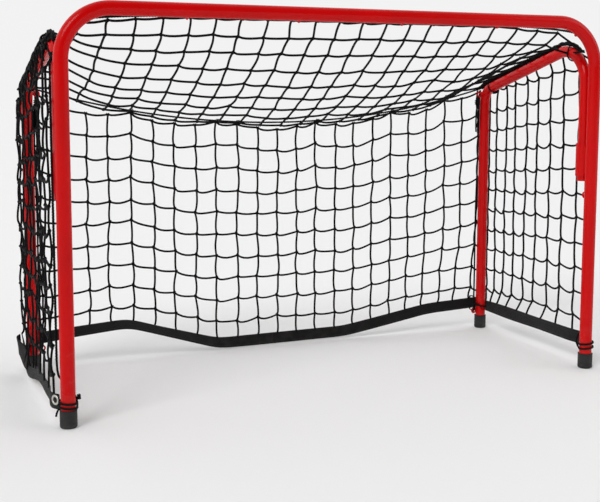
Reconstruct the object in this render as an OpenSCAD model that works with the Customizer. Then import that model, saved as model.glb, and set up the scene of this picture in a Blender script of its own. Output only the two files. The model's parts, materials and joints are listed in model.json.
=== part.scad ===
// Small folding goal: a bent tube front frame, two side frames that swing in
// on hinge sleeves behind the posts, and a square mesh net on cords and webbing.
// Y runs back from the goal line, X across the mouth, Z up from the floor.

/* [Mouth] */
// Clear width between the posts
goal_w = 900; // [700:10:1200]
// Clear height under the crossbar
goal_h = 600; // [480:10:760]
// Outer diameter of the front tube
post_d = 22; // [18:1:28]
// Wall of the front tube
post_wall = 1.2; // [1:0.1:2]
// Centreline radius of the two top bends
corner_r = 75; // [50:5:110]

/* [Side frames] */
// From the goal line back to the rear legs
depth = 352; // [280:4:440]
// Outer diameter of the side tube
side_d = 20; // [16:1:24]
// Wall of the side tube
side_wall = 1.2; // [1:0.1:2]
// Slope of the top rail in degrees
rail_slope = 15.2; // [5:0.1:20]
// Radius of the bend over the hinge
front_bend_r = 60; // [40:1:75]
// Radius of the bend over the rear leg
rear_bend_r = 32; // [26:1:45]
// How far the top of the front bend lies below the crossbar's centre
rail_drop = 46; // [36:1:70]

/* [Hinges] */
// Height of the lower end of the sleeve
sleeve_z = 344; // [320:1:360]
// Length of the sleeve
sleeve_h = 58; // [40:1:60]
// Wall of the sleeve
sleeve_wall = 2.9; // [2:0.1:4]
// Radial running clearance of the side tube in its sleeve
hinge_gap = 0.1; // [0.05:0.01:0.1]
// How far the side tube sticks out below the sleeve
tail = 9; // [4:1:20]
// Width of the weld between sleeve and post
weld_w = 9; // [6:1:12]

/* [Feet] */
// Height of the rubber feet
foot_h = 27; // [22:1:32]
// Wall of the rubber round the tube
foot_wall = 2; // [1.5:0.1:3]
// Rubber under the tube's end
foot_floor = 3; // [2:0.5:5]

/* [Wire eyes] */
// Outer diameter of a net eye
eye_d = 12; // [11:0.5:14]
// Wire of a net eye
eye_wire = 3; // [2:0.1:3.2]
// Height of the eye behind each post
post_eye_z = 310; // [200:5:320]
// Height of the eye at the foot of each rear leg
leg_eye_z = 37; // [35:1:60]
// Spacing of the eyes along the crossbar
eye_pitch = 180; // [140:5:180]
// How far the crossbar eyes are turned down, in degrees
eye_tilt = 25; // [10:1:40]

/* [Net] */
// Thickness of the net's cord
cord_d = 3; // [2:0.5:4]
// Meshes across the top and back nets
mesh_x = 20; // [8:1:22]
// Meshes down the back net
mesh_back = 9; // [4:1:11]
// Meshes from front to back of the top net
mesh_top = 8; // [4:1:9]
// Meshes along a side net
mesh_side = 7; // [4:1:9]
// Meshes down a side net
mesh_down = 10; // [4:1:11]
// How far the rope over the back hangs down in its middle
rope_sag = 66; // [30:1:90]
// How far the top net hangs below a straight line
net_sag = 9; // [0:1:20]

/* [Ropes and webbing] */
// Thickness of the edge ropes
rope_d = 4; // [3:0.5:5]
// Thickness of the gathered rope on each rail
rail_rope_d = 7; // [4:0.5:9]
// Width of the bottom webbing
band_w = 20; // [16:1:26]
// Thickness of the bottom webbing
band_t = 2; // [1.5:0.1:3]
// Height of the webbing's middle at the right side
right_band_z = 44.5; // [40:0.5:60]
// Hole of an eyelet
eyelet_hole = 8.5; // [6:0.5:9]
// Flange of an eyelet
eyelet_d = 16; // [14:0.5:18]
// Rise of a tie in one turn round the post
tie_pitch = 5; // [4.5:0.5:7]
// Thickness of the loops that tie the webbing to the rear legs
loop_d = 2; // [1.5:0.5:2]

/* [Hidden] */
$fn = 48;
gap = 0.3;      // between soft pieces and what they lie on
sewn = 0.9;     // between a net's lowest cord and the webbing under it

// Front frame
post_r = post_d / 2;
post_x = goal_w / 2 + post_r;
bar_z = goal_h + post_r;
bend_x = post_x - corner_r;
bend_z = bar_z - corner_r;

// Hinges and side frames
side_r = side_d / 2;
sleeve_r = side_r + hinge_gap + sleeve_wall;
hinge_y = post_r + sleeve_r;
leg_top = bar_z - rail_drop - front_bend_r;
turn_front = 90 + rail_slope;
turn_rear = 90 - rail_slope;
front_c = [hinge_y + front_bend_r, leg_top];
rail_start = front_c + front_bend_r * [-cos(turn_front), sin(turn_front)];
function rail_z(y) = rail_start[1] - (y - rail_start[0]) * tan(rail_slope);
rear_c = [depth - rear_bend_r, rail_z(depth) - rear_bend_r * tan(turn_rear / 2)];
rail_end = rear_c + rear_bend_r * [sin(rail_slope), cos(rail_slope)];
rail_len = norm(rail_end - rail_start);

// Feet
front_foot_r = post_r + foot_wall;
rear_foot_r = side_r + foot_wall;
seat = 0.05;    // radial slack of a tube in its foot

// Eyes
eye_r = eye_d / 2;
eye_off = post_r + eye_r + seat;
corner_eye_turn = 50; // up the bend from the post
leg_top_eye_z = rear_c[1] + rear_bend_r * 0.55;

// Net planes, all clear of what swings past them
half = cord_d / 2;
swing_y = depth + side_r;
side_plane = post_x + sleeve_r + 2 * gap;
back_plane = swing_y + 2 * gap;
net_front_y = hinge_y - sleeve_r + 3;
net_half = post_x - rail_rope_d / 2 - gap - half;
band_plane = side_plane + half;

// Rope over the back: an arc between the two rear corners
rope_y = back_plane + rope_d / 2 - 0.1;
rope_end_z = rail_z(depth) + 5.5;
rope_arc_r = (pow(post_x, 2) + pow(rope_sag, 2)) / (2 * rope_sag);
function rope_z(x) = rope_end_z - rope_sag + rope_arc_r - sqrt(pow(rope_arc_r, 2) - pow(x, 2));

// Rope round the mouth, behind the tube
bar_eye = [eye_off * cos(eye_tilt), bar_z - eye_off * sin(eye_tilt)];
rope_off = post_r + rope_d / 2 + 2.5;
tie_start_z = right_band_z + band_w / 2 + 45;
function round_post(turn, off, z) = [post_x + off * cos(turn), off * sin(turn), z];
function round_bend(turn, off) =
  [bend_x + corner_r * cos(turn), off, bend_z + corner_r * sin(turn)];
rope_side = [
  [0, bar_eye[0], bar_eye[1]],
  [1.5 * eye_pitch, bar_eye[0], bar_eye[1]],
  round_bend(corner_eye_turn, eye_off),
  round_bend(20, rope_off),
  round_post(43, rope_off, bend_z),
  round_post(20, rope_off, bend_z - 31),
  round_post(20, rope_off, tie_start_z)
];

// Bottom webbing: height of its middle along X at the back and along Y at the sides,
// bent only where a cord of the net is sewn to it
function mix(a, b, t) = a + (b - a) * t;
function bent_at(places, route) = [for (q = places) [q, lookup(q, route)]];
back_half = post_x + side_r;
back_columns = [for (i = [0:mesh_x]) mix(-back_half, back_half, i / mesh_x)];
back_band_route = bent_at(back_columns, [
  [-back_half, 50], [-post_x + 60, 57], [-post_x + 175, 66], [-post_x + 240, 46],
  [-post_x + 350, 13], [post_x - 310, 15], [post_x - 120, 46], [back_half, 52]
]);
band_front_y = 3.5;
side_rear_y = depth + side_r - 2;
side_columns = [for (i = [0:mesh_side]) mix(net_front_y, side_rear_y, i / mesh_side)];
left_band_route = bent_at(concat([band_front_y], side_columns), [
  [band_front_y, 40], [depth / 2, 37], [depth - 60, 14], [side_rear_y, 38]
]);
right_band_route = [[band_front_y, right_band_z], [side_rear_y, right_band_z]];

// Upper edge of the top net along a rail
front_net_y = eye_off + eye_r + gap + half;
rear_net_y = rope_y - rope_d / 2 - gap - half;
rail_rope_off = side_r + rail_rope_d / 2 + gap;
rail_cover = rail_rope_off / cos(rail_slope);
edge_profile = [
  [front_net_y, round_bend(20, 0)[2] - rope_d / 2],
  [front_c[0] - front_bend_r / 3, leg_top + front_bend_r + rail_cover],
  [front_c[0] + front_bend_r / 3, leg_top + front_bend_r + rail_cover],
  [rail_end[0], rail_end[1] + rail_cover + half],
  [rear_net_y, rope_end_z + half]
];
front_profile = [
  [0, bar_eye[1]], [1.5 * eye_pitch, bar_eye[1]],
  [round_bend(corner_eye_turn, 0)[0], round_bend(corner_eye_turn, 0)[2]],
  [net_half, edge_profile[0][1]]
];

// Foremost and rearmost points, used to stand the whole part on its middle
front_face = -(post_r + gap + cord_d);
loop_y = back_plane + cord_d + gap + loop_d / 2;
rear_face = loop_y + loop_d / 2;
mid_y = (front_face + rear_face) / 2;
module place() { translate([0, -mid_y, 0]) children(); }
module flip() { mirror([1, 0, 0]) children(); }

// ---- helpers: swept cords and knotted nets ----

function unit(v) = v / norm(v);
function clamp(t) = min(1, max(0, t));
function headings(p) = let (n = len(p) - 1)
  [for (i = [0:n]) unit(p[min(n, i + 1)] - p[max(0, i - 1)])];
function across(t, n) = unit(n - t * (n * t));
function sides(t, seed) =
  [for (i = 0, n = across(t[0], seed); i < len(t); i = i + 1, n = i < len(t) ? across(t[i], n) : n) n];
function outward(faces) = [for (f = faces) [f[2], f[1], f[0]]];

// A tube of round section along a list of points
module cord(p, d, seed = [0.1, 0.2, 1], n = 6) {
  t = headings(p);
  u = sides(t, seed);
  last = len(p) - 1;
  points = [for (i = [0:last], k = [0:n - 1])
    p[i] + d / 2 * (cos(360 * k / n) * u[i] + sin(360 * k / n) * cross(t[i], u[i]))];
  walls = [for (i = [0:last - 1], k = [0:n - 1]) let (
      a = i * n + k, b = i * n + (k + 1) % n, c = b + n, e = a + n)
    each [[a, b, c], [a, c, e]]];
  ends = [for (k = [1:n - 2]) each [[0, k + 1, k], [last * n, last * n + k, last * n + k + 1]]];
  polyhedron(points, outward(concat(walls, ends)));
}

// A net of three-sided cords between knots, on a grid of points; a and b are
// half a cord along the two ways of the mesh, and ridge is its depth
module lattice(grid, a, b, ridge) {
  nu = len(grid);
  nv = len(grid[0]);
  points = [for (i = [0:nu - 1], j = [0:nv - 1]) let (p = grid[i][j])
    each [p - a - b, p + a - b, p + a + b, p - a + b, p + ridge]];
  function at(i, j, k) = 5 * (i * nv + j) + k;
  function quad(q) = [[q[0], q[1], q[2]], [q[0], q[2], q[3]]];
  knots = [for (i = [0:nu - 1], j = [0:nv - 1]) each quad([for (k = [0:3]) at(i, j, k)])];
  along_u = [for (i = [0:nu - 2], j = [0:nv - 1])
    each quad([at(i, j, 1), at(i + 1, j, 0), at(i + 1, j, 3), at(i, j, 2)])];
  along_v = [for (i = [0:nu - 1], j = [0:nv - 2])
    each quad([at(i, j, 3), at(i, j, 2), at(i, j + 1, 1), at(i, j + 1, 0)])];
  holes = [for (i = [0:nu - 2], j = [0:nv - 2]) let (
      c = [at(i, j, 2), at(i + 1, j, 3), at(i + 1, j + 1, 0), at(i, j + 1, 1)],
      r = [at(i, j, 4), at(i + 1, j, 4), at(i + 1, j + 1, 4), at(i, j + 1, 4)])
    each [for (k = [0:3]) let (m = (k + 1) % 4) each quad([c[k], c[m], r[m], r[k]])]];
  low = [for (i = [0:nu - 2]) each quad([at(i, 0, 1), at(i, 0, 4), at(i + 1, 0, 4), at(i + 1, 0, 0)])];
  high = [for (i = [0:nu - 2])
    each quad([at(i + 1, nv - 1, 3), at(i + 1, nv - 1, 4), at(i, nv - 1, 4), at(i, nv - 1, 2)])];
  first = [for (j = [0:nv - 2]) each quad([at(0, j + 1, 0), at(0, j + 1, 4), at(0, j, 4), at(0, j, 3)])];
  final = [for (j = [0:nv - 2])
    each quad([at(nu - 1, j, 2), at(nu - 1, j, 4), at(nu - 1, j + 1, 4), at(nu - 1, j + 1, 1)])];
  rims = [
    for (i = [0:nu - 1]) each [
      [at(i, 0, 1), at(i, 0, 0), at(i, 0, 4)],
      [at(i, nv - 1, 3), at(i, nv - 1, 2), at(i, nv - 1, 4)]],
    for (j = [0:nv - 1]) each [
      [at(0, j, 0), at(0, j, 3), at(0, j, 4)],
      [at(nu - 1, j, 2), at(nu - 1, j, 1), at(nu - 1, j, 4)]]
  ];
  polyhedron(points, outward(concat(knots, along_u, along_v, holes, low, high, first, final, rims)));
}

// ---- tubes ----

// Inverted U of one diameter: two posts, two bends and the crossbar
module front_tube(d, low) {
  for (s = [-1, 1]) {
    translate([s * post_x, 0, low]) cylinder(h = bend_z - low, d = d);
    translate([s * bend_x, 0, bend_z]) rotate([90, 0, 0])
      rotate_extrude(angle = 90, start = s > 0 ? 0 : 90) translate([corner_r, 0]) circle(d = d);
  }
  translate([-bend_x, 0, bar_z]) rotate([0, 90, 0]) cylinder(h = 2 * bend_x, d = d);
}

module front_frame() {
  color("red") place() difference() {
    front_tube(post_d, foot_floor);
    front_tube(post_d - 2 * post_wall, foot_floor - 1);
  }
}

// One bend of a side tube in the Y-Z plane, from its start angle over a turn
module side_bend(c, r, from, turn, d) {
  translate([0, c[0], c[1]]) rotate([90, 0, 90])
    rotate_extrude(angle = turn, start = from) translate([r, 0]) circle(d = d);
}

// Front leg, bend, sloping rail, bend and rear leg of one diameter
module side_tube(d, low, tail_low) {
  translate([0, hinge_y, tail_low]) cylinder(h = leg_top - tail_low, d = d);
  side_bend(front_c, front_bend_r, turn_rear, turn_front, d);
  translate([0, rail_start[0], rail_start[1]]) rotate([-90 - rail_slope, 0, 0]) cylinder(h = rail_len, d = d);
  side_bend(rear_c, rear_bend_r, 0, turn_rear, d);
  translate([0, depth, low]) cylinder(h = rear_c[1] - low, d = d);
}

module side_frame() {
  tail_z = sleeve_z - tail;
  color("red") place() translate([post_x, 0, 0]) difference() {
    side_tube(side_d, foot_floor, tail_z);
    side_tube(side_d - 2 * side_wall, foot_floor - 1, tail_z - 1);
  }
}
module right_side_frame() side_frame();
module left_side_frame() flip() side_frame();

// Sleeve with the weld that joins it to its post
module hinge_sleeve() {
  color("red") place() translate([post_x, 0, sleeve_z]) difference() {
    union() {
      translate([0, hinge_y, 0]) cylinder(h = sleeve_h, r = sleeve_r);
      translate([-weld_w / 2, post_r / 2, 4]) cube([weld_w, hinge_y - post_r / 2, sleeve_h - 8]);
    }
    translate([0, hinge_y, -1]) cylinder(h = sleeve_h + 2, r = side_r + hinge_gap);
    translate([0, 0, -1]) cylinder(h = sleeve_h + 2, r = post_r + seat);
  }
}
module right_hinge_sleeve() hinge_sleeve();
module left_hinge_sleeve() flip() hinge_sleeve();

// ---- feet ----

module foot(r, tube_r) {
  edge = 2.5;
  rotate_extrude() polygon([
    [0, 0],
    for (a = [-90:15:0]) [r - edge + edge * cos(a), edge + edge * sin(a)],
    [r, foot_h], [tube_r + seat, foot_h], [tube_r + seat, foot_floor], [0, foot_floor]
  ]);
}
module front_foot() { color("#222222") place() translate([post_x, 0, 0]) foot(front_foot_r, post_r); }
module rear_foot() { color("#222222") place() translate([post_x, depth, 0]) foot(rear_foot_r, side_r); }
module front_right_foot() front_foot();
module front_left_foot() flip() front_foot();
module rear_right_foot() rear_foot();
module rear_left_foot() flip() rear_foot();

// ---- wire eyes ----

module eye() { rotate_extrude() translate([eye_r - eye_wire / 2, 0]) circle(d = eye_wire, $fn = 24); }

corner_way = unit(rope_side[2] - rope_side[1]) + unit(rope_side[3] - rope_side[2]);
module crossbar_eyes() {
  color("red") place() {
    for (k = [-1.5:1:1.5])
      translate([k * eye_pitch, bar_eye[0], bar_eye[1]]) rotate([0, 90, 0]) eye();
    for (s = [-1, 1])
      translate([s * round_bend(corner_eye_turn, 0)[0], eye_off, round_bend(corner_eye_turn, 0)[2]])
        rotate([0, s * atan2(corner_way[0], corner_way[2]), 0]) eye();
  }
}
module post_eye() { color("red") place() translate([post_x, eye_off, post_eye_z]) rotate([0, 90, 0]) eye(); }
module right_post_eye() post_eye();
module left_post_eye() flip() post_eye();

eye_x = post_x - side_r - eye_r - seat;
top_eye_y = rear_c[0] + sqrt(pow(rear_bend_r, 2) - pow(leg_top_eye_z - rear_c[1], 2));
module leg_eyes() {
  color("red") place() {
    translate([eye_x, depth, leg_eye_z]) rotate([90, 0, 0]) eye();
    translate([eye_x, top_eye_y, leg_top_eye_z]) rotate([90, 0, 0]) eye();
  }
}
module right_leg_eyes() leg_eyes();
module left_leg_eyes() flip() leg_eyes();

// ---- nets ----

// Height of the top net: a ruled sheet from the crossbar to the rear rope that
// lifts to the rails at its two sides
function flat_z(x, v) = mix(lookup(abs(x), front_profile), rope_z(x), v) - net_sag * sin(180 * v);
function top_z(x, y, v) = let (t = clamp((abs(x) - net_half + 120) / 120))
  mix(flat_z(x, v), lookup(y, edge_profile), t * t * (3 - 2 * t));
top_grid = [for (i = [0:mesh_x]) [for (j = [0:mesh_top]) let (
    x = mix(-net_half, net_half, i / mesh_x), v = j / mesh_top, y = mix(front_net_y, rear_net_y, v))
  [x, y, top_z(x, y, v)]]];
module top_net() { color("#161616") place() lattice(top_grid, [half, 0, 0], [0, half, 0], [0, 0, -cord_d]); }

back_grid = [for (x = back_columns) let (
    low = lookup(x, back_band_route) + band_w / 2 + sewn + half,
    high = rope_z(x) - rope_d / 2 - gap - half)
  [for (j = [0:mesh_back]) [x, back_plane, mix(low, high, j / mesh_back)]]];
module back_net() { color("#161616") place() lattice(back_grid, [half, 0, 0], [0, 0, half], [0, cord_d, 0]); }

function side_top(y) = lookup(y, edge_profile) - rail_rope_d;
function side_grid(route) = [for (y = side_columns) let (low = lookup(y, route) + band_w / 2 + sewn + half)
  [for (j = [0:mesh_down]) [side_plane + cord_d, y, mix(low, side_top(y), j / mesh_down)]]];
module side_net(route) {
  color("#161616") place() lattice(side_grid(route), [0, half, 0], [0, 0, half], [-cord_d, 0, 0]);
}
module right_side_net() side_net(right_band_route);
module left_side_net() flip() side_net(left_band_route);

// ---- ropes ----

module front_edge_rope() {
  left = [for (i = [len(rope_side) - 1:-1:1]) [-rope_side[i][0], rope_side[i][1], rope_side[i][2]]];
  color("#141414") place() cord(concat(left, rope_side), rope_d, [0, 1, 0.1]);
}

module rear_top_rope() {
  steps = 24;
  color("#141414") place() cord(
    [for (i = [0:steps]) let (x = mix(-post_x, post_x, i / steps)) [x, rope_y, rope_z(x)]], rope_d, [0, 1, 0]);
}

// Gathered rope lying along the top of a rail
module rail_rope() {
  over_bend = [for (k = [0:3]) let (a = mix(90, turn_rear, k / 3))
    front_c + (front_bend_r + rail_rope_off) * [cos(a), sin(a)]];
  end = rail_end + rail_rope_off * [cos(turn_rear), sin(turn_rear)];
  route = concat(over_bend, [mix(over_bend[3], end, 0.5), end]);
  color("#141414") place() cord([for (q = route) [post_x, q[0], q[1]]], rail_rope_d, [1, 0, 0], 8);
}
module right_rail_rope() rail_rope();
module left_rail_rope() flip() rail_rope();

// Lashing of the rope's end: down behind the post, two turns round it, and a knot
tie_r = post_r + cord_d / 2 + gap;
tie_turns = 2;
tie_steps = 16;
function tie_lead(top) = concat(
  [round_post(20, rope_off, tie_start_z - gap), round_post(20, rope_off, tie_start_z - 6),
   round_post(32, rope_off - 0.5, tie_start_z - 14)],
  [for (k = [0:8]) let (s = k / 8)
    round_post(mix(52, 180, s), tie_r + 0.6 * (1 - s), mix(tie_start_z - 24, top, s))]);
function tie_winding(top) = [for (k = [1:tie_turns * tie_steps])
  round_post(180 + 360 * k / tie_steps, tie_r, top - tie_pitch * k / tie_steps)];
// Least gap between two turns of the lashing, measured on its points
function turn_gap(p) = min([for (i = [0:len(p) - 1], j = [0:len(p) - 1])
  if (j - i > tie_steps / 2) norm(p[i] - p[j])]) - cord_d;
echo("least gap between the turns of a tie", turn_gap(tie_winding(0)));

module front_tie(low) {
  knot_r = 3.5;
  color("#141414") place() {
    top = low + tie_turns * tie_pitch;
    cord(concat(tie_lead(top), tie_winding(top)), cord_d, [1, 0, 0]);
    translate(round_post(180, tie_r + cord_d / 2 + knot_r + gap, low)) sphere(r = knot_r);
  }
}
module front_right_tie() front_tie(foot_h + 9);
module front_left_tie() flip() front_tie(foot_h + 4);

// Loop that goes through the eye of a rear leg and round the webbing and the net's lowest cord
module rear_tie(band_z) {
  r = 3;
  front = depth - eye_wire / 2 - loop_d;
  top = ceil(10 * (band_z + band_w / 2 + sewn + cord_d + gap + loop_d / 2)) / 10;
  w = loop_y - front;
  h = top - leg_eye_z;
  color("#141414") place() translate([eye_x, front, leg_eye_z]) rotate([90, 0, 90]) {
    loop_corner([w - r, h - r], 0, r);
    loop_corner([r, h - r], 90, r);
    loop_corner([r, r], 180, r);
    loop_corner([w - r, r], 270, r);
    for (y = [0, h]) translate([r, y, 0]) rotate([0, 90, 0]) cylinder(h = w - 2 * r, d = loop_d, $fn = 24);
    for (x = [0, w]) translate([x, r, 0]) rotate([-90, 0, 0]) cylinder(h = h - 2 * r, d = loop_d, $fn = 24);
  }
}
module loop_corner(c, from, r) {
  translate([c[0], c[1], 0]) rotate_extrude(angle = 90, start = from) translate([r, 0]) circle(d = loop_d, $fn = 24);
}
module rear_right_tie() rear_tie(lookup(eye_x, back_band_route));
module rear_left_tie() flip() rear_tie(lookup(-eye_x, back_band_route));

// ---- webbing and eyelets ----

// A flat strip in the X-Y plane whose middle follows the route
module strip(route, t) {
  low = [for (q = route) q - [0, band_w / 2]];
  high = [for (i = [len(route) - 1:-1:0]) route[i] + [0, band_w / 2]];
  linear_extrude(t) polygon(concat(low, high));
}
module back_band() {
  color("#1c1a1a") place() translate([0, back_plane + band_t, 0]) rotate([90, 0, 0]) strip(back_band_route, band_t);
}

eyelet_y = band_front_y + eyelet_d / 2 + 1;
barrel_wall = 0.8;
module side_band(route) {
  color("#1c1a1a") place() translate([band_plane, 0, 0]) difference() {
    rotate([90, 0, 90]) strip(route, band_t);
    translate([-1, eyelet_y, lookup(eyelet_y, route)]) rotate([0, 90, 0])
      cylinder(h = band_t + 2, d = eyelet_hole + 2 * barrel_wall + 2 * seat);
  }
}
module right_band() side_band(right_band_route);
module left_band() flip() side_band(left_band_route);

// Metal eyelet: a barrel through the webbing between two flanges
module eyelet(route) {
  flange = 0.6;
  hole_r = eyelet_hole / 2;
  outer = hole_r + barrel_wall;
  low = -flange - seat;
  high = band_t + flange + seat;
  color("silver") place() translate([band_plane, eyelet_y, lookup(eyelet_y, route)]) rotate([0, 90, 0])
    rotate_extrude() polygon([
      [hole_r, low], [eyelet_d / 2, low], [eyelet_d / 2, -seat], [outer, -seat],
      [outer, band_t + seat], [eyelet_d / 2, band_t + seat], [eyelet_d / 2, high], [hole_r, high]
    ]);
}
module right_eyelet() eyelet(right_band_route);
module left_eyelet() flip() eyelet(left_band_route);

front_frame();
left_hinge_sleeve();
right_hinge_sleeve();
left_side_frame();
right_side_frame();
front_left_foot();
front_right_foot();
rear_left_foot();
rear_right_foot();
crossbar_eyes();
left_post_eye();
right_post_eye();
left_leg_eyes();
right_leg_eyes();
top_net();
back_net();
left_side_net();
right_side_net();
front_edge_rope();
rear_top_rope();
left_rail_rope();
right_rail_rope();
back_band();
left_band();
right_band();
left_eyelet();
right_eyelet();
front_left_tie();
front_right_tie();
rear_left_tie();
rear_right_tie();
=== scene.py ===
"""Finish and soft goods of a small folding goal: red tubes, rubber feet, knotted net, ropes and webbing."""

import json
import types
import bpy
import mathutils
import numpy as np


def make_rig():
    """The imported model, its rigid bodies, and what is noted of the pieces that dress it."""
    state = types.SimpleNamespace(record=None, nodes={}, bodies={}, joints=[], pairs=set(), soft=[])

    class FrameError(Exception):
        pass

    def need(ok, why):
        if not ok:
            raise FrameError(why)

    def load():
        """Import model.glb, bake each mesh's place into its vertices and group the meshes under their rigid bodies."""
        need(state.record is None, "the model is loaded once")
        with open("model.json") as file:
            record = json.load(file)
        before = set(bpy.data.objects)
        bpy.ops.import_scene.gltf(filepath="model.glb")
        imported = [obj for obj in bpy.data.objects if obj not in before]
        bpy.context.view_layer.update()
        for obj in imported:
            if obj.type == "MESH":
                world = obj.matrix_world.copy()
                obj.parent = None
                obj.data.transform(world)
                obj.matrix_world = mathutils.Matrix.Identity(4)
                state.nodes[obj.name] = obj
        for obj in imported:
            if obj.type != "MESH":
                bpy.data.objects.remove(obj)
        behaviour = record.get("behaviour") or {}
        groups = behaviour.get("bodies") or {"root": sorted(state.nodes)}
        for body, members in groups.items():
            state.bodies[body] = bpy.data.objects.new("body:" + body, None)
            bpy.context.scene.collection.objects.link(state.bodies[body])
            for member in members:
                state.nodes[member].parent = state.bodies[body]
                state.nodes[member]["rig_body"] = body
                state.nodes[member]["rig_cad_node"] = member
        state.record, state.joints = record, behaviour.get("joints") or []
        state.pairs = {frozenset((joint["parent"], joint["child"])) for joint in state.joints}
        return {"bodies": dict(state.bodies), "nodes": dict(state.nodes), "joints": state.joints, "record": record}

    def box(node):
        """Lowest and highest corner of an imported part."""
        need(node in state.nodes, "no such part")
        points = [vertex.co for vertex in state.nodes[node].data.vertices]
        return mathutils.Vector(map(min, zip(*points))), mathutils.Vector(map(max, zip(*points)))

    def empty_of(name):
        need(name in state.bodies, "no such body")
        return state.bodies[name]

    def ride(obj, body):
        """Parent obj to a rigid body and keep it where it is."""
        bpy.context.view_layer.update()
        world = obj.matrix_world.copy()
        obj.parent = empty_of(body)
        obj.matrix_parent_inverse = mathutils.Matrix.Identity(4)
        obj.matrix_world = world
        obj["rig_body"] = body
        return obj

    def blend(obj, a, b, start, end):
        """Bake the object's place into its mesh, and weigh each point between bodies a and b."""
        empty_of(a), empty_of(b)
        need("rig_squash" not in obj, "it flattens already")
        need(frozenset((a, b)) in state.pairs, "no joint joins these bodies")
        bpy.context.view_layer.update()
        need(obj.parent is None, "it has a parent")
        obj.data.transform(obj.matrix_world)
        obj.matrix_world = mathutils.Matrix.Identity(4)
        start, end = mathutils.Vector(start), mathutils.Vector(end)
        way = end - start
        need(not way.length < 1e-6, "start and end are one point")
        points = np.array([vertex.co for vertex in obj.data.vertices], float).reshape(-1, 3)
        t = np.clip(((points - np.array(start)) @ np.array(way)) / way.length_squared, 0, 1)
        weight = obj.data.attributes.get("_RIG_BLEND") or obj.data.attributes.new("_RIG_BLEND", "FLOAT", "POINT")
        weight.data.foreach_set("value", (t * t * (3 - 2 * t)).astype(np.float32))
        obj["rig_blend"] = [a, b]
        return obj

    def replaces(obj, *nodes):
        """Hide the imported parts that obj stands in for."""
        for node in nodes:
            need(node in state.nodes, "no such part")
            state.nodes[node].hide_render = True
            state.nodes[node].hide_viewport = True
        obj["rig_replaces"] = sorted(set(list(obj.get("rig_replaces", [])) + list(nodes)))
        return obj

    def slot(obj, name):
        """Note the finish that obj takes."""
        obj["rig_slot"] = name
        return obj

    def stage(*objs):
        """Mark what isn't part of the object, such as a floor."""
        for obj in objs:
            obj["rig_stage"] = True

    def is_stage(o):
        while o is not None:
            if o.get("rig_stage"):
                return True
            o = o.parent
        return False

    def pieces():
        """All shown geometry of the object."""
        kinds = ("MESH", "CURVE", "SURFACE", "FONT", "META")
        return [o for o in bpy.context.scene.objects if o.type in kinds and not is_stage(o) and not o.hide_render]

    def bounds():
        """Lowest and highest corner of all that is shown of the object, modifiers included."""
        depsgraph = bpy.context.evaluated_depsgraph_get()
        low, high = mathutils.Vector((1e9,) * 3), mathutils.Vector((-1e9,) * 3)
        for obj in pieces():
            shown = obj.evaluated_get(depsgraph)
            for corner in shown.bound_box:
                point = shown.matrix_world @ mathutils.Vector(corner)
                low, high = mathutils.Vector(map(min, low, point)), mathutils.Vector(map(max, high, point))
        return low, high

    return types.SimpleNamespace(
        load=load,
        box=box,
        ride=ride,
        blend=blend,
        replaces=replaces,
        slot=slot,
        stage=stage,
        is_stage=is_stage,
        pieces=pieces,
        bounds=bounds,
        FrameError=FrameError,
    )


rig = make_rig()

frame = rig.load()

import json
import logging
import math
import random
from collections.abc import Callable, Iterable, Iterator
from dataclasses import dataclass, field
from enum import Enum
from pathlib import Path

import bpy
from mathutils import Matrix, Vector

log = logging.getLogger("goal")
Socket = bpy.types.NodeSocket

MM = 0.001
UP = Vector((0, 0, 1))
FRONT_BODY = "front"
EASE = 18.0  # reach in millimetres over which a table's corners are rounded
STEEP = 0.9  # share of upwards beyond which a path counts as upright
CLOSE_FIT = 1.06  # how much thicker a strand is than the circle that just fits in its rope


class Side(Enum):
    """The two sides of the goal, as seen from the field; the value is the sign of X."""

    LEFT = -1
    RIGHT = 1

    @property
    def word(self) -> str:
        """Name of the side in node names."""
        return self.name.lower()

    @property
    def body(self) -> str:
        """Body that carries this side's frame."""
        return f"{self.word}_side"

    @property
    def loose(self) -> bool:
        """Whether this side's net hangs slack."""
        return self is Side.LEFT


def middle(node: str) -> Vector:
    """Centre of a node's box."""
    low, high = (Vector(c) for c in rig.box(node))
    return (low + high) / 2


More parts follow.
